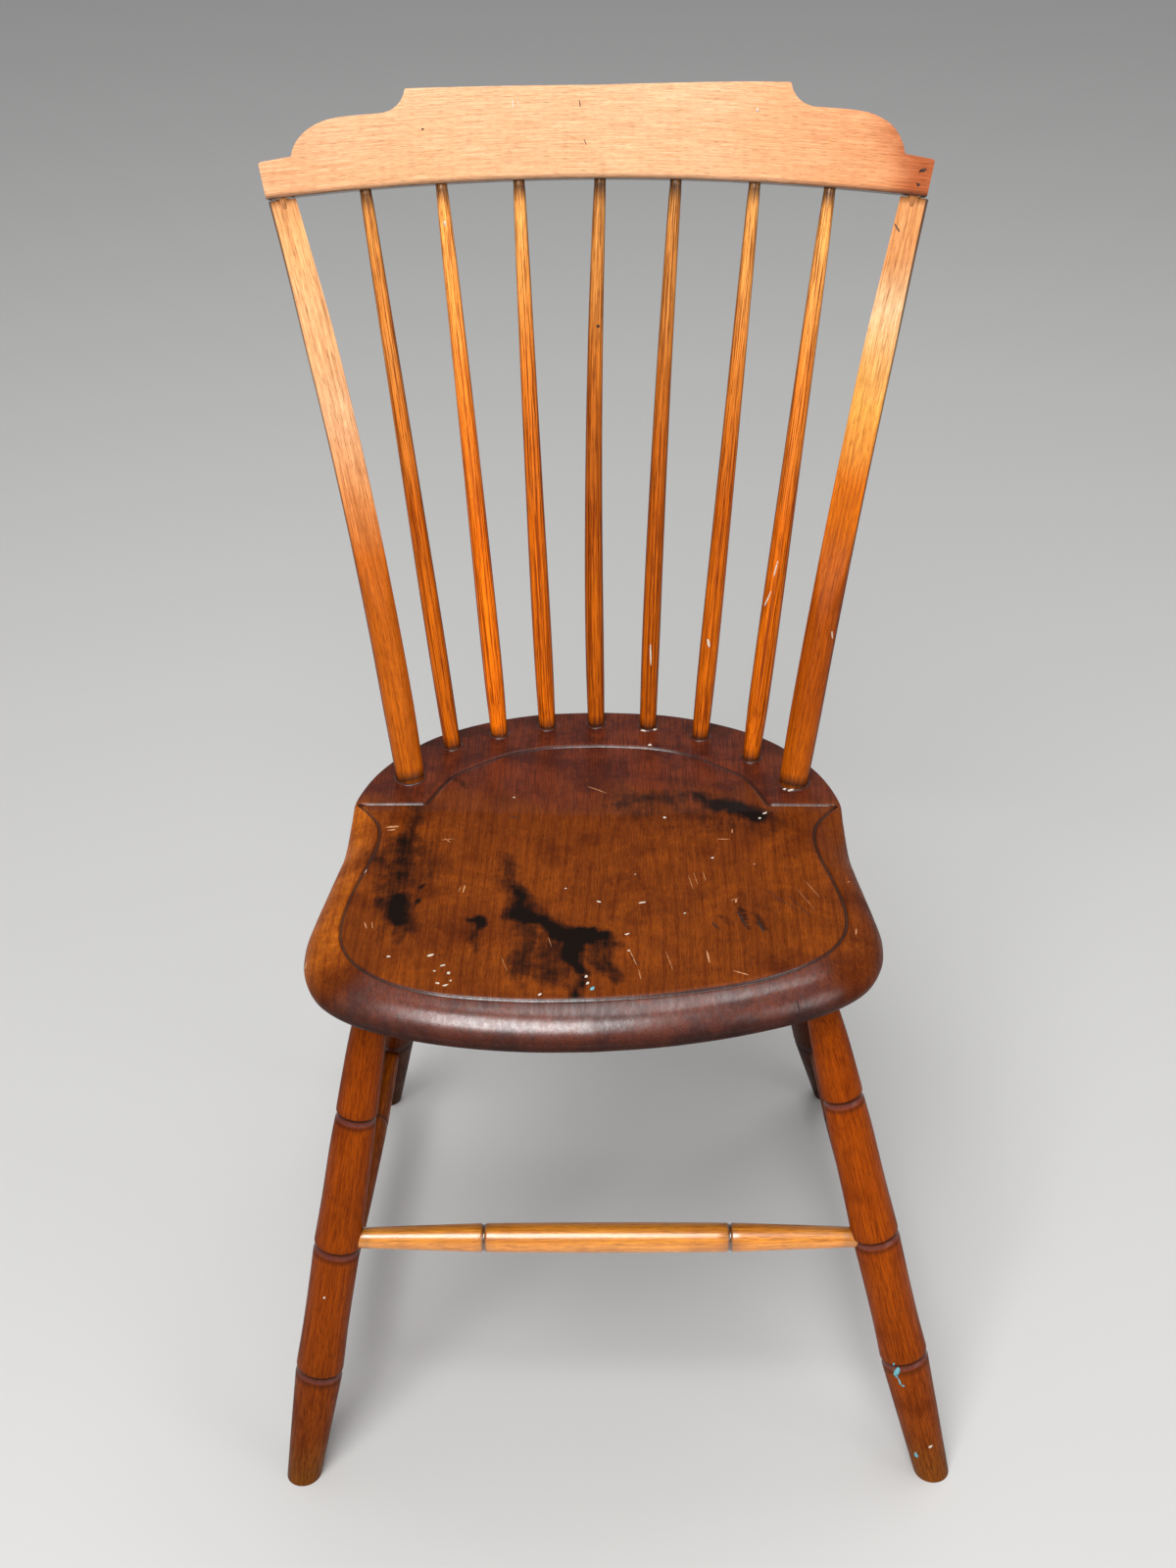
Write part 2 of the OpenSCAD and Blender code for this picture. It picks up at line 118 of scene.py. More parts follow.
# %% World and lamps
world = bpy.data.worlds.new("studio")
scene.world = world
world.use_nodes = True
world.node_tree.nodes["Background"].inputs["Color"].default_value = (0.97, 0.98, 1, 1)
world.node_tree.nodes["Background"].inputs["Strength"].default_value = 0.3


def softbox(name, place, target, size, power):
    lamp = bpy.data.objects.new(name, bpy.data.lights.new(name, "AREA"))
    lamp.data.size = size
    lamp.data.energy = power
    lamp.location = place
    lamp.rotation_euler = (Vector(target) - Vector(place)).to_track_quat("-Z", "Y").to_euler()
    scene.collection.objects.link(lamp)


softbox("key", (-0.5, -1.9, 2.9), (0, 0, 0.45), 1.7, 88)
softbox("fill", (2.4, -1.8, 1.5), (0, 0, 0.45), 1.6, 12)
softbox("top", (0.3, 0.5, 3.3), (0, 0.1, 0.45), 1.6, 22)

# %% [markdown]
# ## Where things are
# The CAD source works in millimetres from a reference line across the seat, and moves the whole chair at
# the end so that its origin is under its middle. The same numbers are used here, so that a mesh falls on
# its CAD node. `TO_METRES` makes the last move, and `along` stands a piece between two points.

# %% Places
TO_MIDDLE = Vector((-12.033, -73.165, 0))
TO_METRES = Matrix.Scale(0.001, 4) @ Matrix.Translation(TO_MIDDLE)
SEAT_TOP = 431.0
SEAT_UNDER = 395.0


def between(a, b, t):
    return a + (b - a) * t


def ease(a, b, f):
    # 0 up to a, 1 from b on, and a soft slope between them; a may be the larger
    t = max(0.0, min(1.0, (f - a) / (b - a)))
    return t * t * (3 - 2 * t)


def at_height(a, b, z):
    return a.lerp(b, (z - a.z) / (b.z - a.z))


def along(a, b, front=Vector((0, -1, 0))):
    z = (b - a).normalized()
    x = z.cross(front).normalized()
    y = z.cross(x)
    return Matrix.Translation(a) @ Matrix((x, y, z)).transposed().to_4x4()


def smooth_path(points, steps):
    # a smooth curve through the points, as tuples, with this many steps from each point to the next
    path = []
    last = len(points) - 1
    for i in range(last):
        a, b, c, d = (points[j] for j in (max(i - 1, 0), i, i + 1, min(i + 2, last)))
        for k in range(steps):
            t = k / steps
            path.append(tuple(
                0.5 * (2 * q + (r - p) * t + (2 * p - 5 * q + 4 * r - s) * t ** 2
                       + (3 * q - p - 3 * r + s) * t ** 3)
                for p, q, r, s in zip(a, b, c, d)))
    return path + [tuple(points[last])]


cad_low, cad_high = cad_box
print("chair is %.3f m high" % (cad_high[2] - cad_low[2]))

# %% [markdown]
# ## The finish
# The chair has an old clear finish over stained wood. High on the back it is a pale straw colour, partly
# because sun bleached it there and partly as painted light, a glare on the varnish painted into the colour.
# Lower down it stays a hot orange-brown. Dark lengthwise streaks lie in the wood's own grain, so the
# pattern must follow each stick, whichever way it leans. Every piece therefore carries a `grain` attribute:
# the point in the piece's own length and width, before the piece was stood in its place. `recess_and_shade`
# marks grooves and joints, where finish and dirt have collected, and also places painted darker as shade:
# the crest rail's lower face, the tops of the spindles and the upper walls of the legs' rings. `shine` says
# where the finish is still thick and glossy, and `tone` how light or dark the wood is there, which includes
# painted shade on the sides of the sticks, on the back legs and under the seat's rolled edge. One function
# makes a wood from a few colours.


# %% Node helpers
def node(tree, kind, **settings):
    made = tree.nodes.new(kind)
    for key, value in settings.items():
        setattr(made, key, value)
    return made


def put(tree, socket, value):
    # a link if the value is a socket, otherwise a plain value
    if isinstance(value, bpy.types.NodeSocket):
        tree.links.new(value, socket)
    else:
        socket.default_value = value


def maths(tree, operation, a, b=0.0, c=0.0):
    made = node(tree, "ShaderNodeMath", operation=operation)
    for socket, value in zip(made.inputs, (a, b, c)):
        put(tree, socket, value)
    return made.outputs[0]


def mix(tree, share, a, b, blend="MIX"):
    made = node(tree, "ShaderNodeMix", data_type="RGBA", blend_type=blend)
    put(tree, made.inputs[0], share)
    put(tree, made.inputs[6], a)
    put(tree, made.inputs[7], b)
    return made.outputs[2]


def tinted(tree, shade, tint):
    return mix(tree, 1.0, shade, tint, "MULTIPLY")


def span(tree, value, low, high, to_low=0.0, to_high=1.0):
    # turns low to high into to_low to to_high, softly
    made = node(tree, "ShaderNodeMapRange", interpolation_type="SMOOTHSTEP")
    for socket, v in zip(made.inputs, (value, low, high, to_low, to_high)):
        put(tree, socket, v)
    return made.outputs[0]


def attribute(tree, name, output="Fac"):
    return node(tree, "ShaderNodeAttribute", attribute_name=name).outputs[output]


def noise(tree, vector, stretch, detail=3.0, rough=0.55, distortion=0.0):
    # stretch holds how many features there are in a metre, across, through and along
    scaled = node(tree, "ShaderNodeMapping")
    tree.links.new(vector, scaled.inputs["Vector"])
    scaled.inputs["Scale"].default_value = stretch
    made = node(tree, "ShaderNodeTexNoise")
    tree.links.new(scaled.outputs[0], made.inputs["Vector"])
    made.inputs["Scale"].default_value = 1.0
    made.inputs["Detail"].default_value = detail
    made.inputs["Roughness"].default_value = rough
    made.inputs["Distortion"].default_value = distortion
    return made.outputs[0]


def colour(red, green, blue):
    # a colour from its screen values, 0 to 255
    linear = [((v / 255 + 0.055) / 1.055) ** 2.4 if v > 10 else v / 255 / 12.92 for v in (red, green, blue)]
    return (*linear, 1.0)


def shades(*stops):
    # colours at heights in metres, each written as height, red, green, blue
    return [(height, colour(*screen)) for height, *screen in stops]


def ramp(tree, value, stops):
    made = node(tree, "ShaderNodeValToRGB")
    tree.links.new(value, made.inputs[0])
    band = made.color_ramp
    while len(band.elements) < len(stops):
        band.elements.new(0.5)
    for element, (place, shade) in zip(band.elements, stops):
        element.position = place
        element.color = shade
    return made.outputs[0]


# %% The wood itself
CHAIR_HEIGHT = 0.88
STREAK_TINT = (0.36, 0.24, 0.16, 1)
PALE_TINT = (1.22, 1.26, 1.4, 1)
# dark dirt of grooves and joints, also used for painted shade
DIRT_AND_SHADE = colour(30, 13, 5)
FILM_AND_SHEEN = colour(98, 52, 50)


def wood(name, by_height, streak=0.6, across=700.0, lengthwise=18.0, cloudy=0.3, gloss=0.42, specular=0.12,
         coat=0.0, pore=0.6, band=0.5, film_and_sheen=0.0, extra=None):
    # by_height: colours at heights in metres. across, lengthwise: how fine the streaks are, in a metre.
    # streak, band, pore, cloudy: how dark the fine and the broad streaks, the pores and the clouds are.
    # gloss: the roughness. coat: shine all over. film: how far a shiny place takes the FILM_AND_SHEEN
    # colour, a mauve that is partly pooled finish and partly a painted sheen.
    # extra(tree, shade, grain, place, fine) may change the colour.
    made = bpy.data.materials.new(name)
    made.use_nodes = True
    tree = made.node_tree
    shader = tree.nodes["Principled BSDF"]
    grain = attribute(tree, "grain", "Vector")
    place = node(tree, "ShaderNodeTexCoord").outputs["Object"]
    height = node(tree, "ShaderNodeSeparateXYZ")
    tree.links.new(place, height.inputs[0])
    cloud = noise(tree, place, (9, 9, 9), 2)
    wavy = maths(tree, "MULTIPLY_ADD", cloud, 0.12, -0.06)
    level = maths(tree, "DIVIDE", maths(tree, "ADD", height.outputs[2], wavy), CHAIR_HEIGHT)
    body = ramp(tree, level, [(z / CHAIR_HEIGHT, shade) for z, shade in by_height])

    broad = noise(tree, grain, (across * 0.28, across * 0.28, lengthwise * 0.4), 3, 0.6, 0.3)
    fine = noise(tree, grain, (across, across, lengthwise), 4, 0.65, 0.2)
    pores = noise(tree, grain, (across * 2.4, across * 2.4, lengthwise * 5), 2, 0.5)
    blotch = noise(tree, place, (30, 30, 24), 4, 0.62)

    dark = tinted(tree, body, STREAK_TINT)
    darker = tinted(tree, dark, STREAK_TINT)
    light = tinted(tree, body, PALE_TINT)
    shade = mix(tree, span(tree, fine, 0.36, 0.5, 0.8, 0.0), body, light)
    shade = mix(tree, span(tree, broad, 0.46, 0.64, 0.0, streak * band), shade, dark)
    shade = mix(tree, span(tree, fine, 0.5, 0.585, 0.0, streak), shade, dark)
    shade = mix(tree, span(tree, pores, 0.53, 0.62, 0.0, pore), shade, darker)
    shade = mix(tree, span(tree, blotch, 0.48, 0.72, 0.0, cloudy), shade, dark)
    if extra:
        shade = extra(tree, shade, grain, place, fine)
    # shiny places take a mauve tint: pooled finish with a painted sheen on it
    shade = mix(tree, maths(tree, "MULTIPLY", attribute(tree, "shine"), film_and_sheen), shade, FILM_AND_SHEEN)
    # grooves and joints take the dark dirt colour, and some places, such as the crest rail's lower face,
    # take it as painted shade
    recess_and_shade = attribute(tree, "recess_and_shade")
    dirt_and_shade_share = maths(tree, "MULTIPLY", recess_and_shade, span(tree, blotch, 0.2, 0.5, 0.8, 1.0))
    shade = mix(tree, dirt_and_shade_share, shade, DIRT_AND_SHADE)
    toned = node(tree, "ShaderNodeHueSaturation")
    put(tree, toned.inputs["Color"], shade)
    put(tree, toned.inputs["Value"], attribute(tree, "tone"))
    tree.links.new(toned.outputs[0], shader.inputs["Base Color"])

    rough = maths(tree, "ADD", span(tree, blotch, 0.3, 0.7, gloss - 0.08, gloss + 0.1),
                  span(tree, fine, 0.3, 0.7, -0.05, 0.07))
    tree.links.new(rough, shader.inputs["Roughness"])
    bump = node(tree, "ShaderNodeBump")
    bump.inputs["Strength"].default_value = 0.4
    bump.inputs["Distance"].default_value = 0.0005
    put(tree, bump.inputs["Height"], maths(tree, "ADD", maths(tree, "MULTIPLY", fine, -0.7),
                                           maths(tree, "MULTIPLY", pores, -0.5)))
    tree.links.new(bump.outputs[0], shader.inputs["Normal"])
    shader.inputs["Specular IOR Level"].default_value = specular
    patchy = span(tree, broad, 0.34, 0.6, 0.95, 0.6)
    coated = maths(tree, "MULTIPLY_ADD", attribute(tree, "shine"), patchy, coat)
    tree.links.new(coated, shader.inputs["Coat Weight"])
    shader.inputs["Coat Roughness"].default_value = 0.24
    return made


# %% Colours of the sticks
LEG = shades((0.0, 130, 72, 18), (0.04, 132, 60, 8), (0.1, 148, 64, 3), (0.25, 163, 70, 2),
             (0.38, 160, 68, 1))
leg_wood = wood("leg_varnish", LEG, streak=0.42, across=1000, lengthwise=20, specular=0.06, cloudy=0.5,
                pore=0.5, band=0.35, film_and_sheen=0.9)
SIDE_STICK = shades((0.0, 150, 70, 6), (0.12, 156, 74, 6), (0.2, 190, 92, 10))
stretcher_wood = wood("stretcher_varnish", SIDE_STICK, streak=0.6, specular=0.08)
FRONT_STICK = shades((0.18, 244, 148, 40), (0.22, 250, 160, 54))
front_stretcher_wood = wood("front_stretcher_varnish", FRONT_STICK, streak=0.26, cloudy=0.3, coat=0.95,
                            gloss=0.36, across=800, pore=0.4)
front_stretcher_wood.node_tree.nodes["Principled BSDF"].inputs["Coat IOR"].default_value = 1.8
# both posts grow pale towards the top, partly as sun-bleaching and partly as painted light
LEFT_POST = shades((0.43, 202, 100, 12), (0.56, 200, 100, 18), (0.62, 234, 148, 82), (0.7, 248, 186, 134),
                   (0.77, 247, 176, 112), (0.8, 234, 156, 96))
RIGHT_POST = shades((0.43, 200, 98, 6), (0.5, 174, 78, 3), (0.56, 174, 78, 3), (0.62, 218, 110, 2),
                    (0.69, 248, 170, 74), (0.76, 250, 200, 146), (0.8, 228, 152, 88))
left_post_wood = wood("left_post_varnish", LEFT_POST, streak=0.36, across=820, lengthwise=24, pore=0.4)
right_post_wood = wood("right_post_varnish", RIGHT_POST, streak=0.36, across=820, lengthwise=24, pore=0.4)
# pale towards the top, partly as sun-bleaching and partly as painted light
SPINDLE = shades((0.43, 216, 104, 8), (0.53, 222, 110, 10), (0.6, 208, 100, 10), (0.68, 234, 134, 46),
                 (0.8, 252, 172, 88))
spindle_wood = wood("spindle_varnish", SPINDLE, streak=0.9, across=1000, lengthwise=8, cloudy=0.2, pore=0.7,
                    band=0.16)
print("sticks:", leg_wood.name, stretcher_wood.name, left_post_wood.name, spindle_wood.name)

# %% [markdown]
# ## Turned sticks
# Legs, stretchers and spindles were turned on a lathe. The spin operator is a lathe too: half of the
# stick's outline, drawn as a row of points from the axis back to the axis, is turned once around it. The
# outline has its swellings and its scored rings as real hollows. The `grain` and `recess_and_shade` values are
# written while the stick still stands upright on its own axis, and only then is it put between its ends.


# %% The lathe
def lathe(outline, turns=48):
    bm = bmesh.new()
    verts = [bm.verts.new((r, 0, z)) for r, z in outline]
    edges = [bm.edges.new(pair) for pair in zip(verts, verts[1:])]
    bmesh.ops.spin(bm, geom=verts + edges, cent=(0, 0, 0), axis=(0, 0, 1), angle=math.tau, steps=turns,
                   use_merge=True)
    bmesh.ops.remove_doubles(bm, verts=bm.verts, dist=0.001)
    bmesh.ops.recalc_face_normals(bm, faces=bm.faces)
    return bm


def sliced(bm, place, normal, **cleared):
    # cuts the whole mesh with a plane and gives the edges that the cut made
    geom = bm.verts[:] + bm.edges[:] + bm.faces[:]
    cut = bmesh.ops.bisect_plane(bm, geom=geom, dist=0.001, plane_co=place, plane_no=normal, **cleared)
    return [e for e in cut["geom_cut"] if isinstance(e, bmesh.types.BMEdge)]


def soften(bm, edges, width):
    bmesh.ops.bevel(bm, geom=edges, offset=width, offset_type="OFFSET", segments=3, profile=0.5,
                    affect="EDGES", clamp_overlap=True, material=-1)


def mark(bm, number, tone=1.0, recess_and_shade=None, turn=None):
    # writes the attributes; number keeps two pieces' grains apart, and turn lays the grain along Z
    grain = bm.verts.layers.float_vector.new("grain")
    deep = bm.verts.layers.float.new("recess_and_shade")
    shade = bm.verts.layers.float.new("tone")
    shine = bm.verts.layers.float.new("shine")
    away = Vector((0.37, 0.71, 1.3)) * number
    for v in bm.verts:
        p = turn @ v.co if turn else v.co
        v[grain] = p * 0.001 + away
        v[deep] = recess_and_shade(v.co) if recess_and_shade else 0.0
        v[shine] = v[deep]
        v[shade] = tone(v.co) if callable(tone) else tone


def shaded_sides_tone(tone, side_share, low=-0.2, high=0.8):
    # painted shade: the front of a stick has this tone, and its sides and back are painted darker as shade
    return lambda p: tone * between(side_share, 1.0, ease(low, high, -p.y / max(0.1, math.hypot(p.x, p.y))))


def collars(bm, heights):
    # a scored ring's lower slope keeps shiny dark finish pooled on it; the legs' material also tints it
    # mauve there as a painted sheen
    shine = bm.verts.layers.float["shine"]
    for v in bm.verts:
        v[shine] = max(math.exp(-((v.co.z - z + 0.8) / 1.5) ** 2) for z in heights)


skins = {}


def settle(bm, name, material, cad_node=None):
    # makes the object, on the chair's one body, in place of its CAD node
    skins[cad_node or name] = BVHTree.FromBMesh(bm)
    mesh = bpy.data.meshes.new(name)
    bm.to_mesh(mesh)
    bm.free()
    mesh.shade_smooth()
    mesh.materials.append(material)
    made = bpy.data.objects.new(name, mesh)
    scene.collection.objects.link(made)
    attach(made, "root")
    if cad_node:
        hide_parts(cad_node)
    print(name, len(mesh.polygons), "faces")


def dirt_and_shade_bands(*places):
    # dirt, and in places painted shade, in bands at heights of a stick; each place has a height, a width and
    # a strength
    return lambda p: max(math.exp(-((p.z - z) / w) ** 2) * s for z, w, s in places)


# %% [markdown]
# ### Legs
# Each leg swells from its foot to a lowest ring, holds its width and then tapers to the tenon in the
# seat. Three rings were scored by eye, so they differ in height from leg to leg. A ring is steep above
# and slopes out below. It holds a crescent of dirt, and its steep upper wall, which faces down, is also
# painted darker as shade. The foot is sawn level with the floor and its rim is worn round.

# %% Leg numbers
LEGS = ["leg_front_left", "leg_front_right", "leg_back_left", "leg_back_right"]
LEG_TOPS = [Vector((side * 145.5 + 0.7, -89, SEAT_UNDER)) for side in (-1, 1)]
LEG_TOPS += [Vector((side * 124.5 - 7.2, 110, SEAT_UNDER)) for side in (-1, 1)]
LEG_FEET = [Vector((side * 229 + 15, -161.5 + side * 4, 0)) for side in (-1, 1)]
LEG_FEET += [Vector((side * 197 + 3.2, 257 + side * 4.8, 0)) for side in (-1, 1)]
LEG_RINGS = [[94, 198.5, 304.5], [105.5, 209.5, 323], [109, 214, 322], [104, 209, 318]]
RING_RADII = [16.7, 16.3, 14.0]
LEG_TENONS = [21, 21, 10, 10]
LEG_TENON_R = 9.5
RING_BELOW = 3.6
RING_ABOVE = 4.2
SOLE_R = 12.2
BLANK_R = 11.3
SOLE_WEAR = 1.3
BELOW_FLOOR = -20
# the back legs are darker, partly for a darker finish and partly as painted shade under the seat
LEG_TONES_AND_SHADE = [0.9, 1.1, 0.3, 0.25]
# how dark the painted shade on the sides and backs of the legs is
LEG_SIDE_SHADE = 0.62


def ring(r, z):
    # a scored ring at height z: it slopes in from below and turns out steeply above
    return [(r - 0.1, z - 2.9), (r - 0.45, z - 1.8), (r - 0.9, z - 0.6), (r - 1.35, z + 0.6),
            (r - 1.5, z + 1.3), (r - 1.25, z + 2.0), (r - 0.5, z + 2.6), (r, z + 3.1)]


def leg_outline(z, length, tenon):
    # z: the heights of the three rings, from the foot up
    r = RING_RADII
    under = [(r[k], z[k] - RING_BELOW) for k in range(3)]
    over = [(r[k] + 0.1, z[k] + RING_ABOVE) for k in range(3)]
    foot = smooth_path([(SOLE_R, 0), (14.6, z[0] / 2), under[0]], 6)
    first = smooth_path([over[0], (r[0] - 0.7, between(*z[:2], 0.35)), (r[0] - 0.7, between(*z[:2], 0.7)),
                         under[1]], 5)
    second = smooth_path([over[1], (r[1] - 0.9, between(*z[1:], 0.35)), (r[2] + 0.9, between(*z[1:], 0.75)),
                          under[2]], 5)
    top = smooth_path([over[2], (12.6, between(z[2], length, 0.5)), (LEG_TENON_R, length - 6)], 5)
    rings = [ring(r[k], z[k]) for k in range(3)]
    return ([(0, BELOW_FLOOR), (BLANK_R, BELOW_FLOOR)] + foot + rings[0] + first + rings[1] + second
            + rings[2] + top + [(LEG_TENON_R, length + tenon), (0, length + tenon)])


# %% Make the legs
for i, name in enumerate(LEGS):
    foot, top = LEG_FEET[i], LEG_TOPS[i]
    length = (top - foot).length
    bm = lathe(leg_outline(LEG_RINGS[i], length, LEG_TENONS[i]))
    # dirt in each ring, painted darker on its down-facing upper wall as painted shade
    in_rings = [(z + 1.9, 1.5, 1.0) for z in LEG_RINGS[i]]
    under_rings = [(z - 3.4, 0.8, 0.6) for z in LEG_RINGS[i]]
    mark(bm, i + 1, shaded_sides_tone(LEG_TONES_AND_SHADE[i], LEG_SIDE_SHADE), dirt_and_shade_bands(*in_rings, *under_rings, (length, 5, 0.8)))
    collars(bm, LEG_RINGS[i])
    bmesh.ops.transform(bm, matrix=along(foot, top), verts=bm.verts)
    rim = sliced(bm, (0, 0, 0), (0, 0, 1), clear_inner=True)
    bmesh.ops.edgeloop_fill(bm, edges=rim)
    soften(bm, rim, SOLE_WEAR)
    bmesh.ops.recalc_face_normals(bm, faces=bm.faces)
    bmesh.ops.transform(bm, matrix=TO_METRES, verts=bm.verts)
    settle(bm, name + "_turned", leg_wood, name)

# %% [markdown]
# ### Stretchers
# Four stretchers box the legs in: two high ones across the front and back, two low ones at the sides.
# Each is a slim stick with thin ends, a slow swelling and two scored rings like the knots of bamboo.

# %% Make the stretchers
HIGH_BOX = 198
LOW_BOX = 84
STRETCHERS = [("stretcher_front", 0, 1, HIGH_BOX, 1.0), ("stretcher_back", 2, 3, HIGH_BOX, 0.6),
              ("stretcher_left", 0, 2, LOW_BOX, 0.8), ("stretcher_right", 1, 3, LOW_BOX, 0.8)]
THIN_R = 7.3
THIN_TO = 20.7
NECK_R = 8.6
KNOT_R = 10.1
BELLY_R = 10.5
KNOTS = (0.272, 0.728)
KNOT_GROOVE = [(-1.6, 0.15), (-0.9, 0.7), (0, 1.1), (0.9, 0.7), (1.6, 0.15)]
KNOT_HALF = 2.2
PAST_END = 4


def stretcher_outline(length):
    low, high = (share * length for share in KNOTS)
    neck = between(THIN_TO, low, 0.45)
    first = smooth_path([(THIN_R, THIN_TO), (NECK_R, neck), (KNOT_R, low - KNOT_HALF)], 5)
    middle = smooth_path([(KNOT_R, low + KNOT_HALF), (BELLY_R, length * 0.42), (BELLY_R, length * 0.58),
                          (KNOT_R, high - KNOT_HALF)], 5)
    last = smooth_path([(KNOT_R, high + KNOT_HALF), (NECK_R, length - neck), (THIN_R, length - THIN_TO)], 5)
    low_knot, high_knot = ([(KNOT_R - deep, at + z) for z, deep in KNOT_GROOVE] for at in (low, high))
    return ([(0, -PAST_END), (THIN_R, -PAST_END)] + first + low_knot + middle + high_knot + last
            + [(THIN_R, length + PAST_END), (0, length + PAST_END)])


for i, (name, a, b, z, tone) in enumerate(STRETCHERS):
    start = at_height(LEG_FEET[a], LEG_TOPS[a], z)
    end = at_height(LEG_FEET[b], LEG_TOPS[b], z)
    length = (end - start).length
    bm = lathe(stretcher_outline(length), 40)
    in_knots = [(share * length, 1.9, 0.95) for share in KNOTS]
    at_legs = [(15, 5, 0.95), (length - 15, 5, 0.95)]
    mark(bm, i + 6, shaded_sides_tone(tone, 0.5), dirt_and_shade_bands(*in_knots, *at_legs))
    bmesh.ops.transform(bm, matrix=TO_METRES @ along(start, end), verts=bm.verts)
    settle(bm, name + "_turned", front_stretcher_wood if i == 0 else stretcher_wood, name)

# %% [markdown]
# ## The crest rail's shape
# The posts and spindles end in the crest rail, so its curve comes first. The rail is a board bent round a
# cylinder that leans back, and its lower edge is cut as an arch so that the bent edge runs level.
# `rail_point` finds a point of it from the distance across, the depth from its front face and the height
# above its lower edge.

# %% Points of the rail
CREST_X = 226.0  # half its length
CREST_Y = 243.8  # its ends
CREST_Z = 814.6  # its lower edge
CREST_T = 14.0  # its thickness
CREST_H = 65.3
CREST_BOW = 44.6  # how far its middle is behind its ends
CREST_DIP = 2.2  # how far the upper edge sinks to its middle
TILT = math.radians(22)
FLAT_BOW = CREST_BOW * math.cos(TILT)
CREST_R = (CREST_X ** 2 + FLAT_BOW ** 2) / (2 * FLAT_BOW)


def arch(x):
    return -CREST_BOW * math.sin(TILT) * (x / CREST_X) ** 2


def to_chair(x, y, z):
    return Vector((x, CREST_Y + CREST_BOW + y * math.cos(TILT) + z * math.sin(TILT),
                   CREST_Z - y * math.sin(TILT) + z * math.cos(TILT)))


def rail_point(x, depth, z):
    return to_chair(x, math.sqrt((CREST_R + depth) ** 2 - x * x) - CREST_R, z + arch(x))


def crest_point(x, depth):
    # a point of its lower face, where a post or a spindle enters
    a = math.asin(x / CREST_R)
    return to_chair((CREST_R + depth) * math.sin(a), (CREST_R + depth) * math.cos(a) - CREST_R, arch(x))


# %% [markdown]
# ## Spindles
# Seven thin spindles fan out from an arc of holes in the seat to the rail. They are thickest a little
# above the seat and taper to the top. Some have warped, which is done by bowing the upright stick
# sideways before it is stood in its place.

# %% Make the spindles
FOOT_WANDER = [(0.5, 5.8), (1.1, 2.1), (-0.4, 0.9), (-2.5, 0.2), (-2.6, 1.1), (-0.7, -1), (2.4, -10.9)]
HEAD_WANDER = [2.2, -0.4, -1, 1.4, 0, 0.2, -3]
MORE_D = [0.2, 1.2, 0.8, 0.6, 0.2, 0.7, 1.8]
WARP = [0, 0.6, -0.5, -3.2, -1.8, 0.4, 0]
SPINDLE_TONES = [1.0, 1.55, 1.2, 0.87, 0.84, 1.05, 1.2]
SPINDLE_D = 13.2
SPINDLE_FOOT_R = 6.0
SPINDLE_HEAD_R = 4.1
FOOT_DEEP = 23
HEAD_DEEP = 14
FOOT_ARC_R = 178
FOOT_ARC_Y = 181.3
FOOT_STEP = math.radians(12.7)
HEAD_STEP = 54.4
MID_RAIL = CREST_T / 2


def spindle_outline(r, length):
    swell = smooth_path([(6.2, 2), (r - 0.15, 0.09 * length), (r, 0.18 * length), (r - 0.15, 0.29 * length),
                         (0.9 * r, 0.48 * length), (0.81 * r, 0.68 * length), (0.71 * r, 0.87 * length),
                         (4.3, length - 8)], 4)
    foot = [(0, -FOOT_DEEP), (SPINDLE_FOOT_R, -FOOT_DEEP), (SPINDLE_FOOT_R, 0)]
    head = [(SPINDLE_HEAD_R, length - 4), (SPINDLE_HEAD_R, length + HEAD_DEEP), (0, length + HEAD_DEEP)]
    return foot + swell + head


spindle_feet = []
for i in range(7):
    angle = (i - 3) * FOOT_STEP
    wander_x, wander_y = FOOT_WANDER[i]
    foot = Vector((FOOT_ARC_R * math.sin(angle) + wander_x,
                   FOOT_ARC_Y - FOOT_ARC_R * (1 - math.cos(angle)) + wander_y, SEAT_TOP))
    head = crest_point((i - 3) * HEAD_STEP + HEAD_WANDER[i], MID_RAIL)
    length = (head - foot).length
    spindle_feet.append(foot)
    bm = lathe(spindle_outline((SPINDLE_D + MORE_D[i]) / 2, length), 32)
    at_seat = (0, 3, 0.9)
    # dirt, and painted shade under the rail, on the top of each spindle
    at_rail = (length - 3, 9, 0.85)
    mark(bm, i + 11, shaded_sides_tone(SPINDLE_TONES[i], 0.3, -0.15, 0.85), dirt_and_shade_bands(at_seat, at_rail))
    for v in bm.verts:
        f = max(0.0, min(1.0, v.co.z / length))
        v.co.x += WARP[i] * 4 * f * (1 - f)
    bmesh.ops.transform(bm, matrix=TO_METRES @ along(foot, head), verts=bm.verts)
    settle(bm, "spindle_%d_turned" % (i + 1), spindle_wood, "spindle_%d" % (i + 1))

# %% [markdown]
# ## Back posts
# A post is a thick turned stick that was steamed and bent, then shaved: its front is flat from about
# a third of its height up, and it narrows towards the rail. The lathe makes the round stick, and each of
# its points is then moved in to the shaved surface, much as a spokeshave would take it. The top is sawn
# to the slope of the rail's lower edge, a hair below it, because both joints have opened. A thin tenon
# crosses the gap.

# %% Make the posts
POST_HEAD_X = 216.4
JOINT_GAP = 1.6
POST_TURN = math.asin(POST_HEAD_X / CREST_R)
POST_BEND = 9
BOW_IN = {-1: 0.52, 1: 0.17}  # how much of the bend goes sideways, left and right
ROUND_R = 12.2
FRONT_FLAT = 3.4
HEAD_HALF = 8.7
POST_FOOT_R = 10.3
POST_R = 11.2
FOOT_TAPER = 0.12  # the share of the length over which it narrows to its foot
POST_ROWS = 56
PEG_R = 4.5


def shaved(d, limit):
    # what stood out past the limit is almost gone, with a trace of it left for softness
    return limit + 0.04 * (d - limit) if d > limit else d


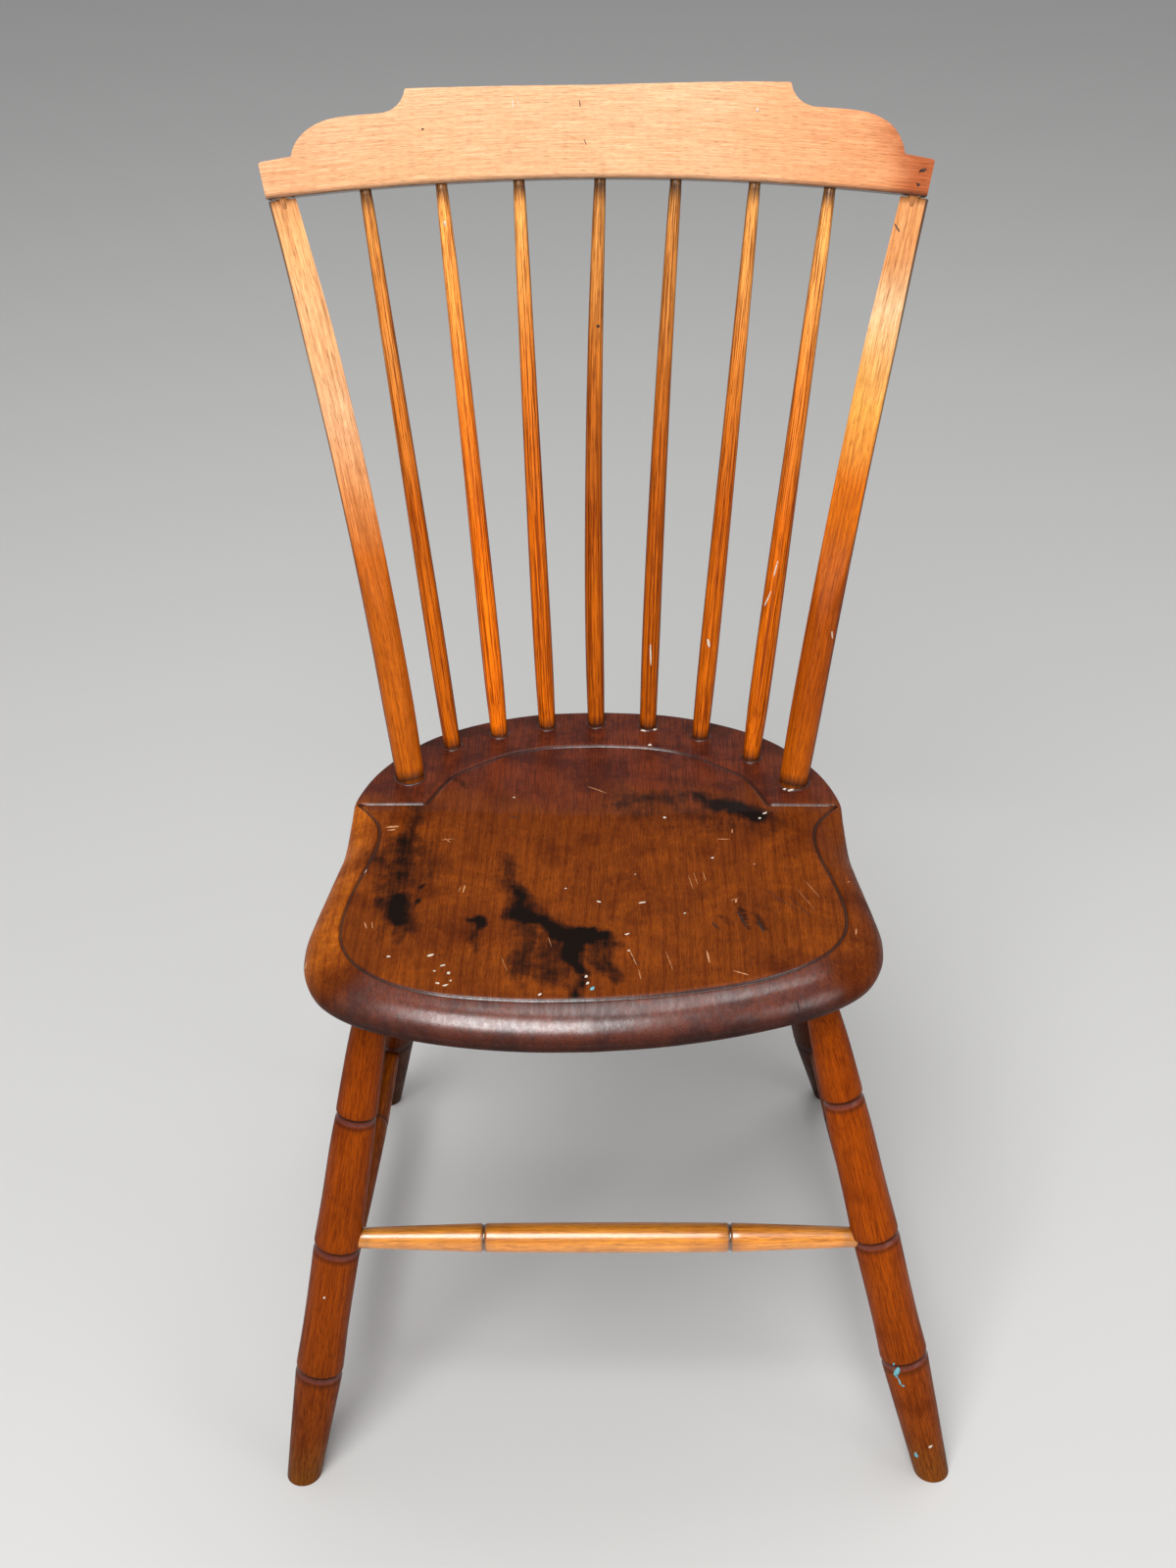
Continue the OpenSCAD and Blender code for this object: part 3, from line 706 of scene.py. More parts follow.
def shave(bm, side, length):
    for v in bm.verts:
        f = max(-0.05, min(1.05, v.co.z / length))
        flat = between(ROUND_R, FRONT_FLAT, ease(0.25, 0.44, f))
        half = between(ROUND_R, HEAD_HALF, ease(0.55, 1.05, f))
        x = math.copysign(shaved(abs(v.co.x), half), v.co.x)
        y = -shaved(-v.co.y, flat)
        bend = POST_BEND * 4 * f * (1 - f)
        v.co.x = x - bend * side * BOW_IN[side]
        v.co.y = y - bend * 0.9


post_feet = []
for side, name in ((-1, "post_left"), (1, "post_right")):
    foot = Vector((side * 139.2 + 2.3, 102.3 - side * 3, SEAT_TOP))
    head = crest_point(side * POST_HEAD_X, MID_RAIL)
    front = Vector((-side * math.sin(POST_TURN), -math.cos(POST_TURN), 0))
    length = (head - foot).length
    post_feet.append(foot)
    rows = [k * length / POST_ROWS for k in range(1, POST_ROWS + 2)]
    taper = [0.9 * max(0, FOOT_TAPER - z / length) / FOOT_TAPER for z in rows]
    stick = [(0, -6), (10.1, -6), (POST_FOOT_R, 0)] + [(POST_R - t, z) for t, z in zip(taper, rows)]
    bm = lathe(stick + [(0, stick[-1][1])], 80)
    mark(bm, side + 22, shaded_sides_tone(1.03, 0.34, 0.06, 0.34), dirt_and_shade_bands((0, 3.2, 0.9), (length, 2.4, 0.7)))
    shave(bm, side, length)
    bmesh.ops.smooth_vert(bm, verts=[v for v in bm.verts if 8 < v.co.z < length - 6], factor=0.5,
                          use_axis_x=True, use_axis_y=True, use_axis_z=False)
    bmesh.ops.transform(bm, matrix=along(foot, head, front), verts=bm.verts)
    before, after = (crest_point(side * POST_HEAD_X + step, MID_RAIL) for step in (-4, 4))
    near, far = (crest_point(side * POST_HEAD_X, depth) for depth in (0, CREST_T))
    up = (after - before).normalized().cross((far - near).normalized())
    sawn_top = sliced(bm, head - Vector((0, 0, JOINT_GAP)), up if up.z > 0 else -up, clear_outer=True)
    bmesh.ops.edgeloop_fill(bm, edges=sawn_top)
    bmesh.ops.recalc_face_normals(bm, faces=bm.faces)
    bmesh.ops.transform(bm, matrix=TO_METRES, verts=bm.verts)
    settle(bm, name + "_shaved", left_post_wood if side < 0 else right_post_wood, name)

    peg = lathe([(0, -8), (PEG_R, -8), (PEG_R, 12), (0, 12)], 24)
    mark(peg, side + 25, 0.8)
    onward = along(head, head + (head - foot), front)
    bmesh.ops.transform(peg, matrix=TO_METRES @ onward, verts=peg.verts)
    settle(peg, name + "_tenon", left_post_wood)

# %% [markdown]
# ## Crest rail
# The rail's outline is a long middle part with a slight dip, a hollow and a rounded shoulder at each
# side, and a square end. The outline is filled as one flat face, sliced both ways so that it can bend,
# and extruded to the rail's thickness. Then every point is moved by `rail_point`, the two ends are sawn
# at a slight angle, and the arrises are bevelled, because a hand sanded them.

# %% Outline of the rail
LEFT_LONGER = 2.0
RIGHT_RISE = 3.0
TOP_HALF = 133.5  # half of the long middle part
TOP_STEPS = 8


def arc(x, z, wide, high, degrees):
    turns = [math.radians(a) for a in degrees]
    return [(x + wide * math.cos(a), z + high * math.sin(a)) for a in turns]


def half_crest(longer):
    end = CREST_X + longer
    square_end = [(end, 0), (end + 4.5, 24), (end + 3, 25), (212, 26.5)]
    shoulder = arc(178, 25, 33, 24.5, range(4, 85, 8)) + [(174, 49.8)]
    hollow = arc(151, 67, 17, 17, range(-90, -171, -10))
    tops = [TOP_HALF - TOP_HALF / TOP_STEPS * k for k in range(TOP_STEPS)]
    middle = [(x, CREST_H - CREST_DIP * (1 - (x / TOP_HALF) ** 2)) for x in tops]
    return square_end + shoulder + hollow + middle


def risen(x, z):
    # the right shoulder and the right of the middle stand a little higher than the left
    rise = RIGHT_RISE * max(0, min(1, x / 110)) * max(0, min(1, (z - 28) / 14))
    return (x, 0, z + rise)


right = half_crest(0)
left = [(-x, z) for x, z in reversed(half_crest(LEFT_LONGER))]
crest_outline = [risen(x, z) for x, z in right + [(0, CREST_H - CREST_DIP)] + left]

# %% Board, bend and saw
bm = bmesh.new()
bm.faces.new([bm.verts.new(p) for p in crest_outline])
for x in range(-224, 225, 8):
    sliced(bm, (x, 0, 0), (1, 0, 0))
for z in (4, 9, 15, 21, 31, 37, 43, 55, 60):
    sliced(bm, (0, 0, z), (0, 0, 1))
thick = bmesh.ops.extrude_face_region(bm, geom=bm.faces[:])["geom"]
bmesh.ops.translate(bm, vec=(0, CREST_T, 0), verts=[v for v in thick if isinstance(v, bmesh.types.BMVert)])
bmesh.ops.recalc_face_normals(bm, faces=bm.faces)
# painted shade: the rail's lower face gets a recess value, so it takes the dark dirt colour as shade under
# the rail
mark(bm, 31, 1.0, lambda p: 0.9 if p.z < 0.01 else 0.0, Matrix(((0, 1, 0), (0, 0, 1), (1, 0, 0))))
for v in bm.verts:
    v.co = rail_point(v.co.x, v.co.y, v.co.z)
rail_frame = Matrix.Translation((0, CREST_Y + CREST_BOW, CREST_Z)) @ Matrix.Rotation(-TILT, 4, "X")
SAW_LEAN = math.radians(7)
SAW_TURN = math.radians(16)
for side, longer in ((-1, LEFT_LONGER), (1, 0)):
    at = rail_frame @ Vector((side * (CREST_X + longer - 1.5), -FLAT_BOW, -60))
    saw = rail_frame.to_3x3() @ Vector((side * math.cos(SAW_LEAN) * math.cos(SAW_TURN),
                                        -math.cos(SAW_LEAN) * math.sin(SAW_TURN), -math.sin(SAW_LEAN)))
    bmesh.ops.edgeloop_fill(bm, edges=sliced(bm, at, saw, clear_outer=True))
bmesh.ops.recalc_face_normals(bm, faces=bm.faces)
arrises = [e for e in bm.edges if len(e.link_faces) == 2 and e.calc_face_angle() > math.radians(50)]
soften(bm, arrises, 1.5)
bmesh.ops.transform(bm, matrix=TO_METRES, verts=bm.verts)


def crest_end_tints(tree, shade, grain, place, fine):
    # the right of the rail is darker and more orange than the middle, its right end darker still, and the
    # left end slightly darker
    spread = node(tree, "ShaderNodeSeparateXYZ")
    tree.links.new(place, spread.inputs[0])
    cloud = noise(tree, place, (14, 14, 30), 3, 0.6)
    across = maths(tree, "ADD", spread.outputs[0], maths(tree, "MULTIPLY_ADD", cloud, 0.1, -0.05))
    for low, high, share, tint in ((0.04, 0.19, 0.85, (0.93, 0.68, 0.5, 1)),
                                   (0.155, 0.205, 0.95, (0.5, 0.27, 0.15, 1)),
                                   (-0.14, -0.24, 0.6, (1.0, 0.89, 0.88, 1))):
        shade = mix(tree, span(tree, across, low, high, 0.0, share), shade, tinted(tree, shade, tint))
    return shade


# the rail's pale colour is partly sun-bleaching and partly painted light
CREST = shades((0.76, 250, 184, 130), (0.83, 250, 188, 138), (0.88, 251, 194, 146))
crest_wood = wood("crest_varnish", CREST, streak=0.3, across=1500, lengthwise=30, cloudy=0.03, pore=0.4,
                  band=0.1, extra=crest_end_tints)
settle(bm, "crest_rail_bent", crest_wood, "crest_rail")

# %% [markdown]
# ## Seat
# The seat is one plank. Its edge is rolled over at the front and sides and left square at the back, a
# scored line runs round the sitting area, and the inside is slightly hollowed. The mesh is made of
# closed rings, each extruded from the last: from the middle of the hollow out to the scored line, down
# and up through the line, on to the edge, over the roll and in again underneath.

# %% Seat outlines
HALF_OUTLINE = [(0, 201), (50, 196.5), (95, 181), (131, 156.5), (159, 118), (172.5, 80.5), (174.5, 54),
                (176.5, 27), (180, 2), (184, -25), (188, -53), (190.5, -78), (187.5, -104), (175, -129),
                (150, -148.5), (118, -161.5), (80, -171.5), (40, -177.5), (0, -179.5)]
SCORE_BACK = [(0, 149), (35, 146.5), (65, 137.5), (92, 119), (109, 101.5), (122, 69.5)]
SCORE_FRONT = [(171, 69), (160.5, 55), (154, 42), (152, 28), (153, 12), (157, -8), (161.5, -28),
               (165.5, -52), (166.5, -72), (164, -90), (156, -107), (143, -121), (123, -134), (92, -145),
               (43, -153), (0, -155)]
# sections of the edge, as pairs of how far in from the edge and how far below the top
ROLL = [(26, 0), (19, 0.9), (12.5, 3), (7, 6.6), (3, 11), (0.7, 15.5), (0, 18.5), (1, 22.5), (4.5, 26),
        (10, 28.2), (34, 36)]
SQUARE = [(26, 0), (15, 0), (5, 0), (2.6, 0.3), (1, 1.2), (0.2, 3), (0, 7), (0, 16), (0, 24), (1.5, 28),
          (12, 36)]
SQUARE_TO = 72
ROLLED_FROM = 14
MIDDLE = Vector((0, 18))
DISH = 4.0
SCORE_W = 3.4
SCORE_D = 1.8


def skewed(x, y, share):
    # the front was cut askew: it comes further forward on the left than on the right
    return Vector((x, y + 5.4 * share * max(0, -y) * x / 16000))


def closed(half, share):
    right = [skewed(x, y, share) for x, y in half]
    left = [skewed(-x, y, share) for x, y in reversed(half) if abs(x) > 0.01]
    return right + left


outline = closed(smooth_path(HALF_OUTLINE, 8), 1.0)
step_x = (SCORE_BACK[-1][0], SCORE_FRONT[0][0])
step_y = (SCORE_BACK[-1][1], SCORE_FRONT[0][1])
step_line = [(between(*step_x, k / 12), between(*step_y, k / 12)) for k in range(1, 12)]
score_line = closed(smooth_path(SCORE_BACK, 12) + step_line + smooth_path(SCORE_FRONT, 9), 1.35)
print("score line has", len(score_line), "points")


# %% Where a ray from the middle meets the outline
def reach(point):
    way = (point - MIDDLE).normalized()
    for a, b in zip(outline, outline[1:] + outline[:1]):
        side = b - a
        det = way.x * side.y - way.y * side.x
        if abs(det) < 1e-9:
            continue
        d = a - MIDDLE
        t = (d.x * side.y - d.y * side.x) / det
        s = (d.x * way.y - d.y * way.x) / det
        if t > 0 and -1e-6 <= s <= 1 + 1e-6:
            return MIDDLE + way * t
    return point


def outward(points):
    # the outward way at each point of a closed line that runs clockwise
    n = len(points)
    ways = []
    for i in range(n):
        d = (points[(i + 1) % n] - points[i - 1]).normalized()
        ways.append(Vector((-d.y, d.x)))
    return ways


edge_line = [reach(p) for p in score_line]
score_out = outward(score_line)
edge_out = outward(edge_line)


# %% Heights across the edge
def profile(y):
    # square behind and rolled in front, with a blend of the two between
    s = ease(SQUARE_TO, ROLLED_FROM, y)
    return [(between(a[0], b[0], s), between(a[1], b[1], s)) for a, b in zip(SQUARE, ROLL)]


def depth_at(steps, inset):
    # how far the top has dropped, this far in from the edge
    if inset >= steps[0][0]:
        return steps[0][1]
    for (i0, d0), (i1, d1) in zip(steps, steps[1:]):
        if i1 <= inset <= i0:
            return between(d0, d1, (i0 - inset) / max(1e-6, i0 - i1))
    return steps[6][1]


# %% Rings of the seat
INNER_RINGS = 56
MOST_ROLL = 26
TOP_SHARE = 0.75  # the roll takes no more than this share of the room outside the scored line
SECTION = [(-1.0, 0.0), (-0.72, 0.28), (-0.42, 0.8), (0.0, 1.0), (0.42, 0.8), (0.72, 0.28), (1.0, 0.0)]
steps_at = [smooth_path(profile(p.y), 3) for p in edge_line]
rings = []


def kept_inside(p, i):
    # no nearer the edge than half a millimetre
    inside = (edge_line[i] - p).dot(edge_out[i])
    return p if inside > 0.5 else p + edge_out[i] * (inside - 0.5)


inner_edge = [kept_inside(p - w * SCORE_W / 2, i) for i, (p, w) in enumerate(zip(score_line, score_out))]
for k in range(INNER_RINGS, 0, -1):
    t = k / (INNER_RINGS + 0.4)
    drop = DISH * t * t * (3 - 2 * t)
    rings.append([(p.lerp(MIDDLE, t), SEAT_TOP - drop) for p in inner_edge])
for across, deep in SECTION:
    row = []
    for i, (p, w) in enumerate(zip(score_line, score_out)):
        q = kept_inside(p + w * (across * SCORE_W / 2), i)
        inset = max(0, (edge_line[i] - q).dot(edge_out[i]))
        row.append((q, SEAT_TOP - depth_at(steps_at[i], inset) - deep * SCORE_D))
    rings.append(row)
outer_edge = [q for q, z in rings[-1]]
ROOM = [max(0.2, (edge_line[i] - outer_edge[i]).length) for i in range(len(edge_line))]
UPPER = 6 * 3  # steps of the section down to its widest point
for share in (0.85, 0.6):
    row = []
    for i, e in enumerate(edge_line):
        inset = between(min(MOST_ROLL, TOP_SHARE * ROOM[i]), ROOM[i], share)
        q = e.lerp(outer_edge[i], inset / ROOM[i])
        row.append((q, SEAT_TOP - depth_at(steps_at[i], inset)))
    rings.append(row)
for k in range(len(steps_at[0])):
    row = []
    for i, e in enumerate(edge_line):
        inset, deep = steps_at[i][k]
        if k < UPPER:
            inset = inset * min(1, TOP_SHARE * ROOM[i] / MOST_ROLL)
            deep = depth_at(steps_at[i], inset)
            q = e.lerp(outer_edge[i], inset / ROOM[i])
        else:
            q = e - edge_out[i] * inset
        row.append((q, SEAT_TOP - deep))
    rings.append(row)
print(len(rings), "rings")


# %% Extrude the rings
def skin(rings):
    bm = bmesh.new()
    row = [bm.verts.new((q.x, q.y, z)) for q, z in rings[0]]
    edges = [bm.edges.new((a, b)) for a, b in zip(row, row[1:] + row[:1])]
    first = edges
    for ring_points in rings[1:]:
        # each new vertex is found over the edge that joins it to the vertex it came from
        made = bmesh.ops.extrude_edge_only(bm, edges=edges)["geom"]
        fresh = {e for e in made if isinstance(e, bmesh.types.BMEdge)}
        follow = {}
        for v in (v for v in made if isinstance(v, bmesh.types.BMVert)):
            for e in v.link_edges:
                if e not in fresh:
                    follow[e.other_vert(v)] = v
        row = [follow[v] for v in row]
        for v, (q, z) in zip(row, ring_points):
            v.co = (q.x, q.y, z)
        edges = [bm.edges.get((a, b)) for a, b in zip(row, row[1:] + row[:1])]
    bmesh.ops.edgeloop_fill(bm, edges=first)
    bmesh.ops.edgeloop_fill(bm, edges=edges)
    bmesh.ops.recalc_face_normals(bm, faces=bm.faces)
    return bm


seat_mesh = skin(rings)
print("seat mesh", len(seat_mesh.verts), "points")

# %% [markdown]
# ### Stains and wear on the seat
# Water and ink-black iron stain have run over the seat: a long streak that ends in a blot and drips near
# the middle of the front, a chain of blots down the left side, and a streak along the back right. Each
# is a few capsules, written as two ends, a radius and a strength. Their soft values are stored at every
# point of the mesh, and the material breaks their rims up with noise. `bare` holds where sitting has worn
# the dark finish thin, so that the orange wood shows.

# %% Stain map
STAINS = [  # x and y of both ends, radius, strength
    (-130, 67, -127, 24, 11, 0.62), (-134, 20, -130, -24, 17, 0.72), (-122, 14, -114, -20, 18, 0.42),
    (-148, 0, -138, -36, 14, 0.52), (-131, -46, -129, -74, 14, 1.1), (-142, -48, -138, -60, 9, 0.8),
    (-129, -80, -129, -92, 7, 0.5), (-131, -30, -131, -80, 24, 0.3),
    (-117, -32, -117, -33, 4.2, 1.0), (-117, -47, -117, -49, 4.4, 1.0),
    (-80, -70, -80, -74, 3.6, 0.95), (-75, -67, -75, -76, 4.2, 1.0), (-76, -80, -77, -106, 4, 0.5),
    (-62, 0, -58, -34, 13, 0.5), (-56, -32, -50, -56, 13, 0.85), (-51, -54, -38, -70, 14, 1.1),
    (-40, -68, -23, -82, 15, 1.2), (-26, -84, -6, -87, 15, 1.3), (-12, -80, -2, -82, 10, 1.2),
    (-2, -84, 6, -88, 10, 1.2), (-14, -88, -12, -112, 13, 1.25), (-12, -108, -10, -128, 9, 1.1),
    (-10, -126, -9, -153, 5, 0.9), (-46, -74, -42, -126, 15, 0.56), (-30, -84, -26, -132, 17, 0.58),
    (4, -92, 8, -120, 14, 0.62), (11, -98, 15, -134, 7, 0.64), (-48, -76, -50, -142, 7, 0.42),
    (18, 76, 62, 80, 13, 0.55), (72, 80, 92, 71, 12, 0.9), (88, 72, 116, 56, 14, 1.2),
    (20, 70, 116, 44, 30, 0.3), (-104, 104, -96, 94, 5, 0.5), (96, -54, 102, -80, 4, 0.6),
    (108, -64, 114, -82, 4.0, 0.55), (84, -60, 90, -70, 4.0, 0.4),
]


def near_segment(x, y, x1, y1, x2, y2):
    # how far the point is from the stroke between two others
    dx, dy = x2 - x1, y2 - y1
    t = max(0.0, min(1.0, ((x - x1) * dx + (y - y1) * dy) / max(1e-9, dx * dx + dy * dy)))
    return math.hypot(x - x1 - t * dx, y - y1 - t * dy)


def stain_at(x, y):
    # how strongly the point is stained; the plain strokes are pushed about so that they look spilt
    near = Vector((x, y, 0)) * 0.04
    x += 7 * noise_at(near) + 2.5 * noise_at(near * 4)
    y += 7 * noise_at(near + Vector((9, 4, 2))) + 3.5 * noise_at(near * 4 + Vector((5, 1, 3)))
    most = 0.0
    for x1, y1, x2, y2, r, strength in STAINS:
        if min(x1, x2) - r < x < max(x1, x2) + r and min(y1, y2) - r < y < max(y1, y2) + r:
            most = max(most, strength * (1 - near_segment(x, y, x1, y1, x2, y2) / r))
    return max(0.0, most)


def bare_at(x, y):
    # 1 where the finish is worn to orange, 0 where it is still dark
    back = ease(125, 20, y - 0.1 * abs(x))
    front = ease(-176, -140, y)
    return back * front


# %% Seat attributes
mark(seat_mesh, 41, 1.0, None, Matrix(((1, 0, 0), (0, 0, 1), (0, 1, 0))))
deep_layer = seat_mesh.verts.layers.float["recess_and_shade"]
stain_layer = seat_mesh.verts.layers.float.new("stain")
shine_layer = seat_mesh.verts.layers.float["shine"]
tone_layer = seat_mesh.verts.layers.float["tone"]
bare_layer = seat_mesh.verts.layers.float.new("bare")
seat_mesh.verts.ensure_lookup_table()
per_ring = len(score_line)
for i, v in enumerate(seat_mesh.verts):
    ring_at = i // per_ring
    in_score = ring_at - INNER_RINGS
    if 0 <= in_score < len(SECTION):
        v[deep_layer] = 0.9 * SECTION[in_score][1]
    if v.co.z > SEAT_TOP - 20:
        v[stain_layer] = stain_at(v.co.x, v.co.y)
    side = ease(128, 172, abs(v.co.x)) * ease(-158, -112, v.co.y) * ease(92, 60, v.co.y)
    if ring_at <= INNER_RINGS:
        bare = bare_at(v.co.x, v.co.y)
    else:
        bare = (1.7 if v.co.x < 0 else 0.95) * side
    v[bare_layer] = bare * (1 - 0.8 * ease(SEAT_TOP - 16, SEAT_TOP - 30, v.co.z))
    # painted shade: the lower part of the rolled edge, which faces down, and the underside are darker except
    # at the worn sides
    v[tone_layer] = 1 - 0.62 * (1 - side) * ease(SEAT_TOP - 8, SEAT_TOP - 19, v.co.z)
    polished = (1.0 - ease(0.0, 0.7, bare)) * ease(SEAT_TOP - 21, SEAT_TOP - 9, v.co.z)
    v[shine_layer] = max(v[deep_layer], polished if v.co.y < 60 else 0.25)
bmesh.ops.transform(seat_mesh, matrix=TO_METRES, verts=seat_mesh.verts)

# %% Seat finish
DARK_FINISH = colour(70, 25, 16)
RED_FINISH = colour(112, 46, 22)
DARKEST_FINISH = colour(44, 15, 12)
INK = colour(11, 7, 5)
WATER_MARK = colour(44, 17, 7)
PAINT_DUST = colour(214, 196, 176)


def seat_marks(tree, shade, grain, place, fine):
    # the plank's own figure: long nested loops round its heart
    heart = node(tree, "ShaderNodeMapping")
    tree.links.new(place, heart.inputs["Vector"])
    heart.inputs["Location"].default_value = (-0.012, 0.024, 0)
    heart.inputs["Scale"].default_value = (1, 0.14, 0)
    figure = node(tree, "ShaderNodeTexWave", wave_type="RINGS", rings_direction="Z")
    tree.links.new(heart.outputs[0], figure.inputs["Vector"])
    figure.inputs["Scale"].default_value = 36
    figure.inputs["Distortion"].default_value = 2.4
    figure.inputs["Detail"].default_value = 3
    figure.inputs["Detail Scale"].default_value = 0.6
    loops = span(tree, figure.outputs["Fac"], 0.7, 0.97, 0.0, 0.34)
    shade = mix(tree, loops, shade, tinted(tree, shade, (0.5, 0.36, 0.28, 1)))
    # dark finish left where no one rubbed it away, orange wood where it is thinnest
    wander = noise(tree, place, (20, 20, 20), 7, 0.72, 0.6)
    bare = maths(tree, "ADD", attribute(tree, "bare"), maths(tree, "MULTIPLY_ADD", wander, 1.8, -0.9))
    rubbed = tinted(tree, shade, (1.6, 1.7, 1.3, 1))
    worn = tinted(tree, shade, (2.9, 3.6, 3.2, 1))
    shade = mix(tree, span(tree, bare, 0.85, 1.35, 0.0, 0.9), shade, rubbed)
    shade = mix(tree, span(tree, bare, 1.35, 1.9, 0.0, 0.95), shade, worn)
    smoke = noise(tree, place, (34, 34, 34), 5, 0.7)
    smoky = mix(tree, span(tree, smoke, 0.38, 0.62), DARK_FINISH, RED_FINISH)
    grainy = mix(tree, span(tree, fine, 0.44, 0.6, 0.0, 0.6), smoky, DARKEST_FINISH)
    shade = mix(tree, span(tree, bare, 0.0, 0.9, 0.92, 0.0), shade, grainy)
    # stains, ragged along the grain
    ragged = noise(tree, place, (90, 90, 90), 7, 0.75)
    runs = noise(tree, grain, (420, 420, 26), 4, 0.65)
    value = maths(tree, "ADD", attribute(tree, "stain"), maths(tree, "MULTIPLY_ADD", ragged, 1.1, -0.55))
    value = maths(tree, "ADD", value, maths(tree, "MULTIPLY_ADD", runs, 0.7, -0.35))
    value = maths(tree, "MULTIPLY", value, span(tree, attribute(tree, "stain"), 0.0, 0.12))
    shade = mix(tree, span(tree, value, 0.05, 0.5, 0.0, 0.75), shade, WATER_MARK)
    shade = mix(tree, span(tree, value, 0.38, 0.8, 0.0, 0.98), shade, INK)
    # specks of paint dust
    specks = node(tree, "ShaderNodeTexVoronoi", feature="F1")
    tree.links.new(place, specks.inputs["Vector"])
    specks.inputs["Scale"].default_value = 62
    few = node(tree, "ShaderNodeSeparateColor")
    tree.links.new(specks.outputs["Color"], few.inputs[0])
    dust = maths(tree, "MULTIPLY", span(tree, specks.outputs["Distance"], 0.03, 0.05, 1.0, 0.0),
                 span(tree, few.outputs[0], 0.86, 0.88))
    return mix(tree, maths(tree, "MULTIPLY", dust, 0.75), shade, PAINT_DUST)


SEAT = shades((0.39, 86, 34, 6), (0.405, 98, 40, 6), (0.422, 117, 53, 9), (0.431, 117, 53, 8))
seat_wood = wood("seat_varnish", SEAT, streak=0.3, across=1150, lengthwise=30, cloudy=0.6, gloss=0.42,
                 specular=0.06, coat=0.05, pore=0.45, band=0.2, extra=seat_marks)
seat_shader = seat_wood.node_tree.nodes["Principled BSDF"]
seat_shader.inputs["Coat IOR"].default_value = 1.85
seat_shader.inputs["Coat Roughness"].default_value = 0.27
settle(seat_mesh, "seat_plank", seat_wood, "seat")

# %% [markdown]
# ## Joints, flecks and scratches
# Small things tell a chair's age. Old finish has dried as a low dark bead round every post and spindle
# where it enters the seat. Drips and flecks of someone's wall paint lie on the seat and a leg, a little
# filler shows in the opened joints, and there are pale scratches and dark gouges. Each is a thin solid of
# its own laid on the surface: the nearest point of the piece's skin says where, and its normal says which
# way is up.


# %% Beads of finish round the joints
def bead(bm, foot, r, wide, high):
    section = [(r - 0.6, -0.8), (r - 0.6, high), (r + wide * 0.3, high * 0.8),
               (r + wide * 0.75, high * 0.3), (r + wide, -0.8)]
    verts = [bm.verts.new(foot + Vector((x, 0, z))) for x, z in section]
    edges = [bm.edges.new(pair) for pair in zip(verts, verts[1:] + verts[:1])]
    bmesh.ops.spin(bm, geom=verts + edges, cent=foot, axis=(0, 0, 1), angle=math.tau, steps=36,
                   use_merge=True)


beads = bmesh.new()
for foot in post_feet:
    bead(beads, foot, POST_FOOT_R, 2.4, 1.0)
for foot in spindle_feet:
    bead(beads, foot, SPINDLE_FOOT_R + 0.3, 2.0, 0.9)
bmesh.ops.recalc_face_normals(beads, faces=beads.faces)
mark(beads, 51, 1.0)
shine_layer = beads.verts.layers.float["shine"]
for v in beads.verts:
    v[shine_layer] = 1.0
bmesh.ops.transform(beads, matrix=TO_METRES, verts=beads.verts)
bead_finish = wood("bead_finish", shades((0.42, 74, 30, 18), (0.45, 84, 36, 20)), streak=0.5, specular=0.2)
settle(beads, "joint_beads", bead_finish)


# %% A fleck laid on a piece
HALF_SIZE = 0.0004  # metres of half length for a millimetre of length: a little scant, as the rim is ragged


def fleck(bm, piece, at, long, wide, high, way=0.0, uneven=0.38):
    # way is the direction of its length in degrees, seen from above or, on an upright face, from the front
    spot, normal, face, far = skins[piece].find_nearest(TO_METRES @ Vector(at))
    turn = math.radians(way)
    length = Vector((math.cos(turn), math.sin(turn), 0))
    if abs(normal.z) < 0.7:
        length = Vector((math.cos(turn), 0, math.sin(turn)))
    x = (length - normal * length.dot(normal)).normalized()
    lay = Matrix((x, normal.cross(x), normal)).transposed().to_4x4()
    size = Matrix.Diagonal((long * HALF_SIZE, wide * HALF_SIZE, high * 0.001, 1))
    made = bmesh.ops.create_icosphere(bm, subdivisions=2, radius=1.0,
                                      matrix=Matrix.Translation(spot) @ lay @ size)
    for v in made["verts"]:
        v.co = spot + (v.co - spot) * chance.uniform(1 - uneven, 1 + uneven)


def scratch(bm, piece, a, b, wide, high=0.05):
    middle = [(p + q) / 2 for p, q in zip(a, b)]
    dx, dy, dz = (q - p for p, q in zip(a, b))
    upright = abs(dz) > abs(dy)
    way = math.degrees(math.atan2(dz if upright else dy, dx))
    fleck(bm, piece, middle, math.dist(a, b), wide, high, way, 0.1)


def plain_finish(name, low, high, rough, size):
    # a dry opaque material, mottled and slightly rough
    made = bpy.data.materials.new(name)
    made.use_nodes = True
    tree = made.node_tree
    shader = tree.nodes["Principled BSDF"]
    place = node(tree, "ShaderNodeTexCoord").outputs["Object"]
    mottle = noise(tree, place, (size, size, size), 4, 0.65)
    tree.links.new(mix(tree, span(tree, mottle, 0.35, 0.65), low, high), shader.inputs["Base Color"])
    tree.links.new(span(tree, mottle, 0.3, 0.7, rough - 0.12, rough + 0.12), shader.inputs["Roughness"])
    bump = node(tree, "ShaderNodeBump")
    bump.inputs["Distance"].default_value = 0.0002
    put(tree, bump.inputs["Height"], mottle)
    tree.links.new(bump.outputs[0], shader.inputs["Normal"])
    return made


chance = random.Random(7)

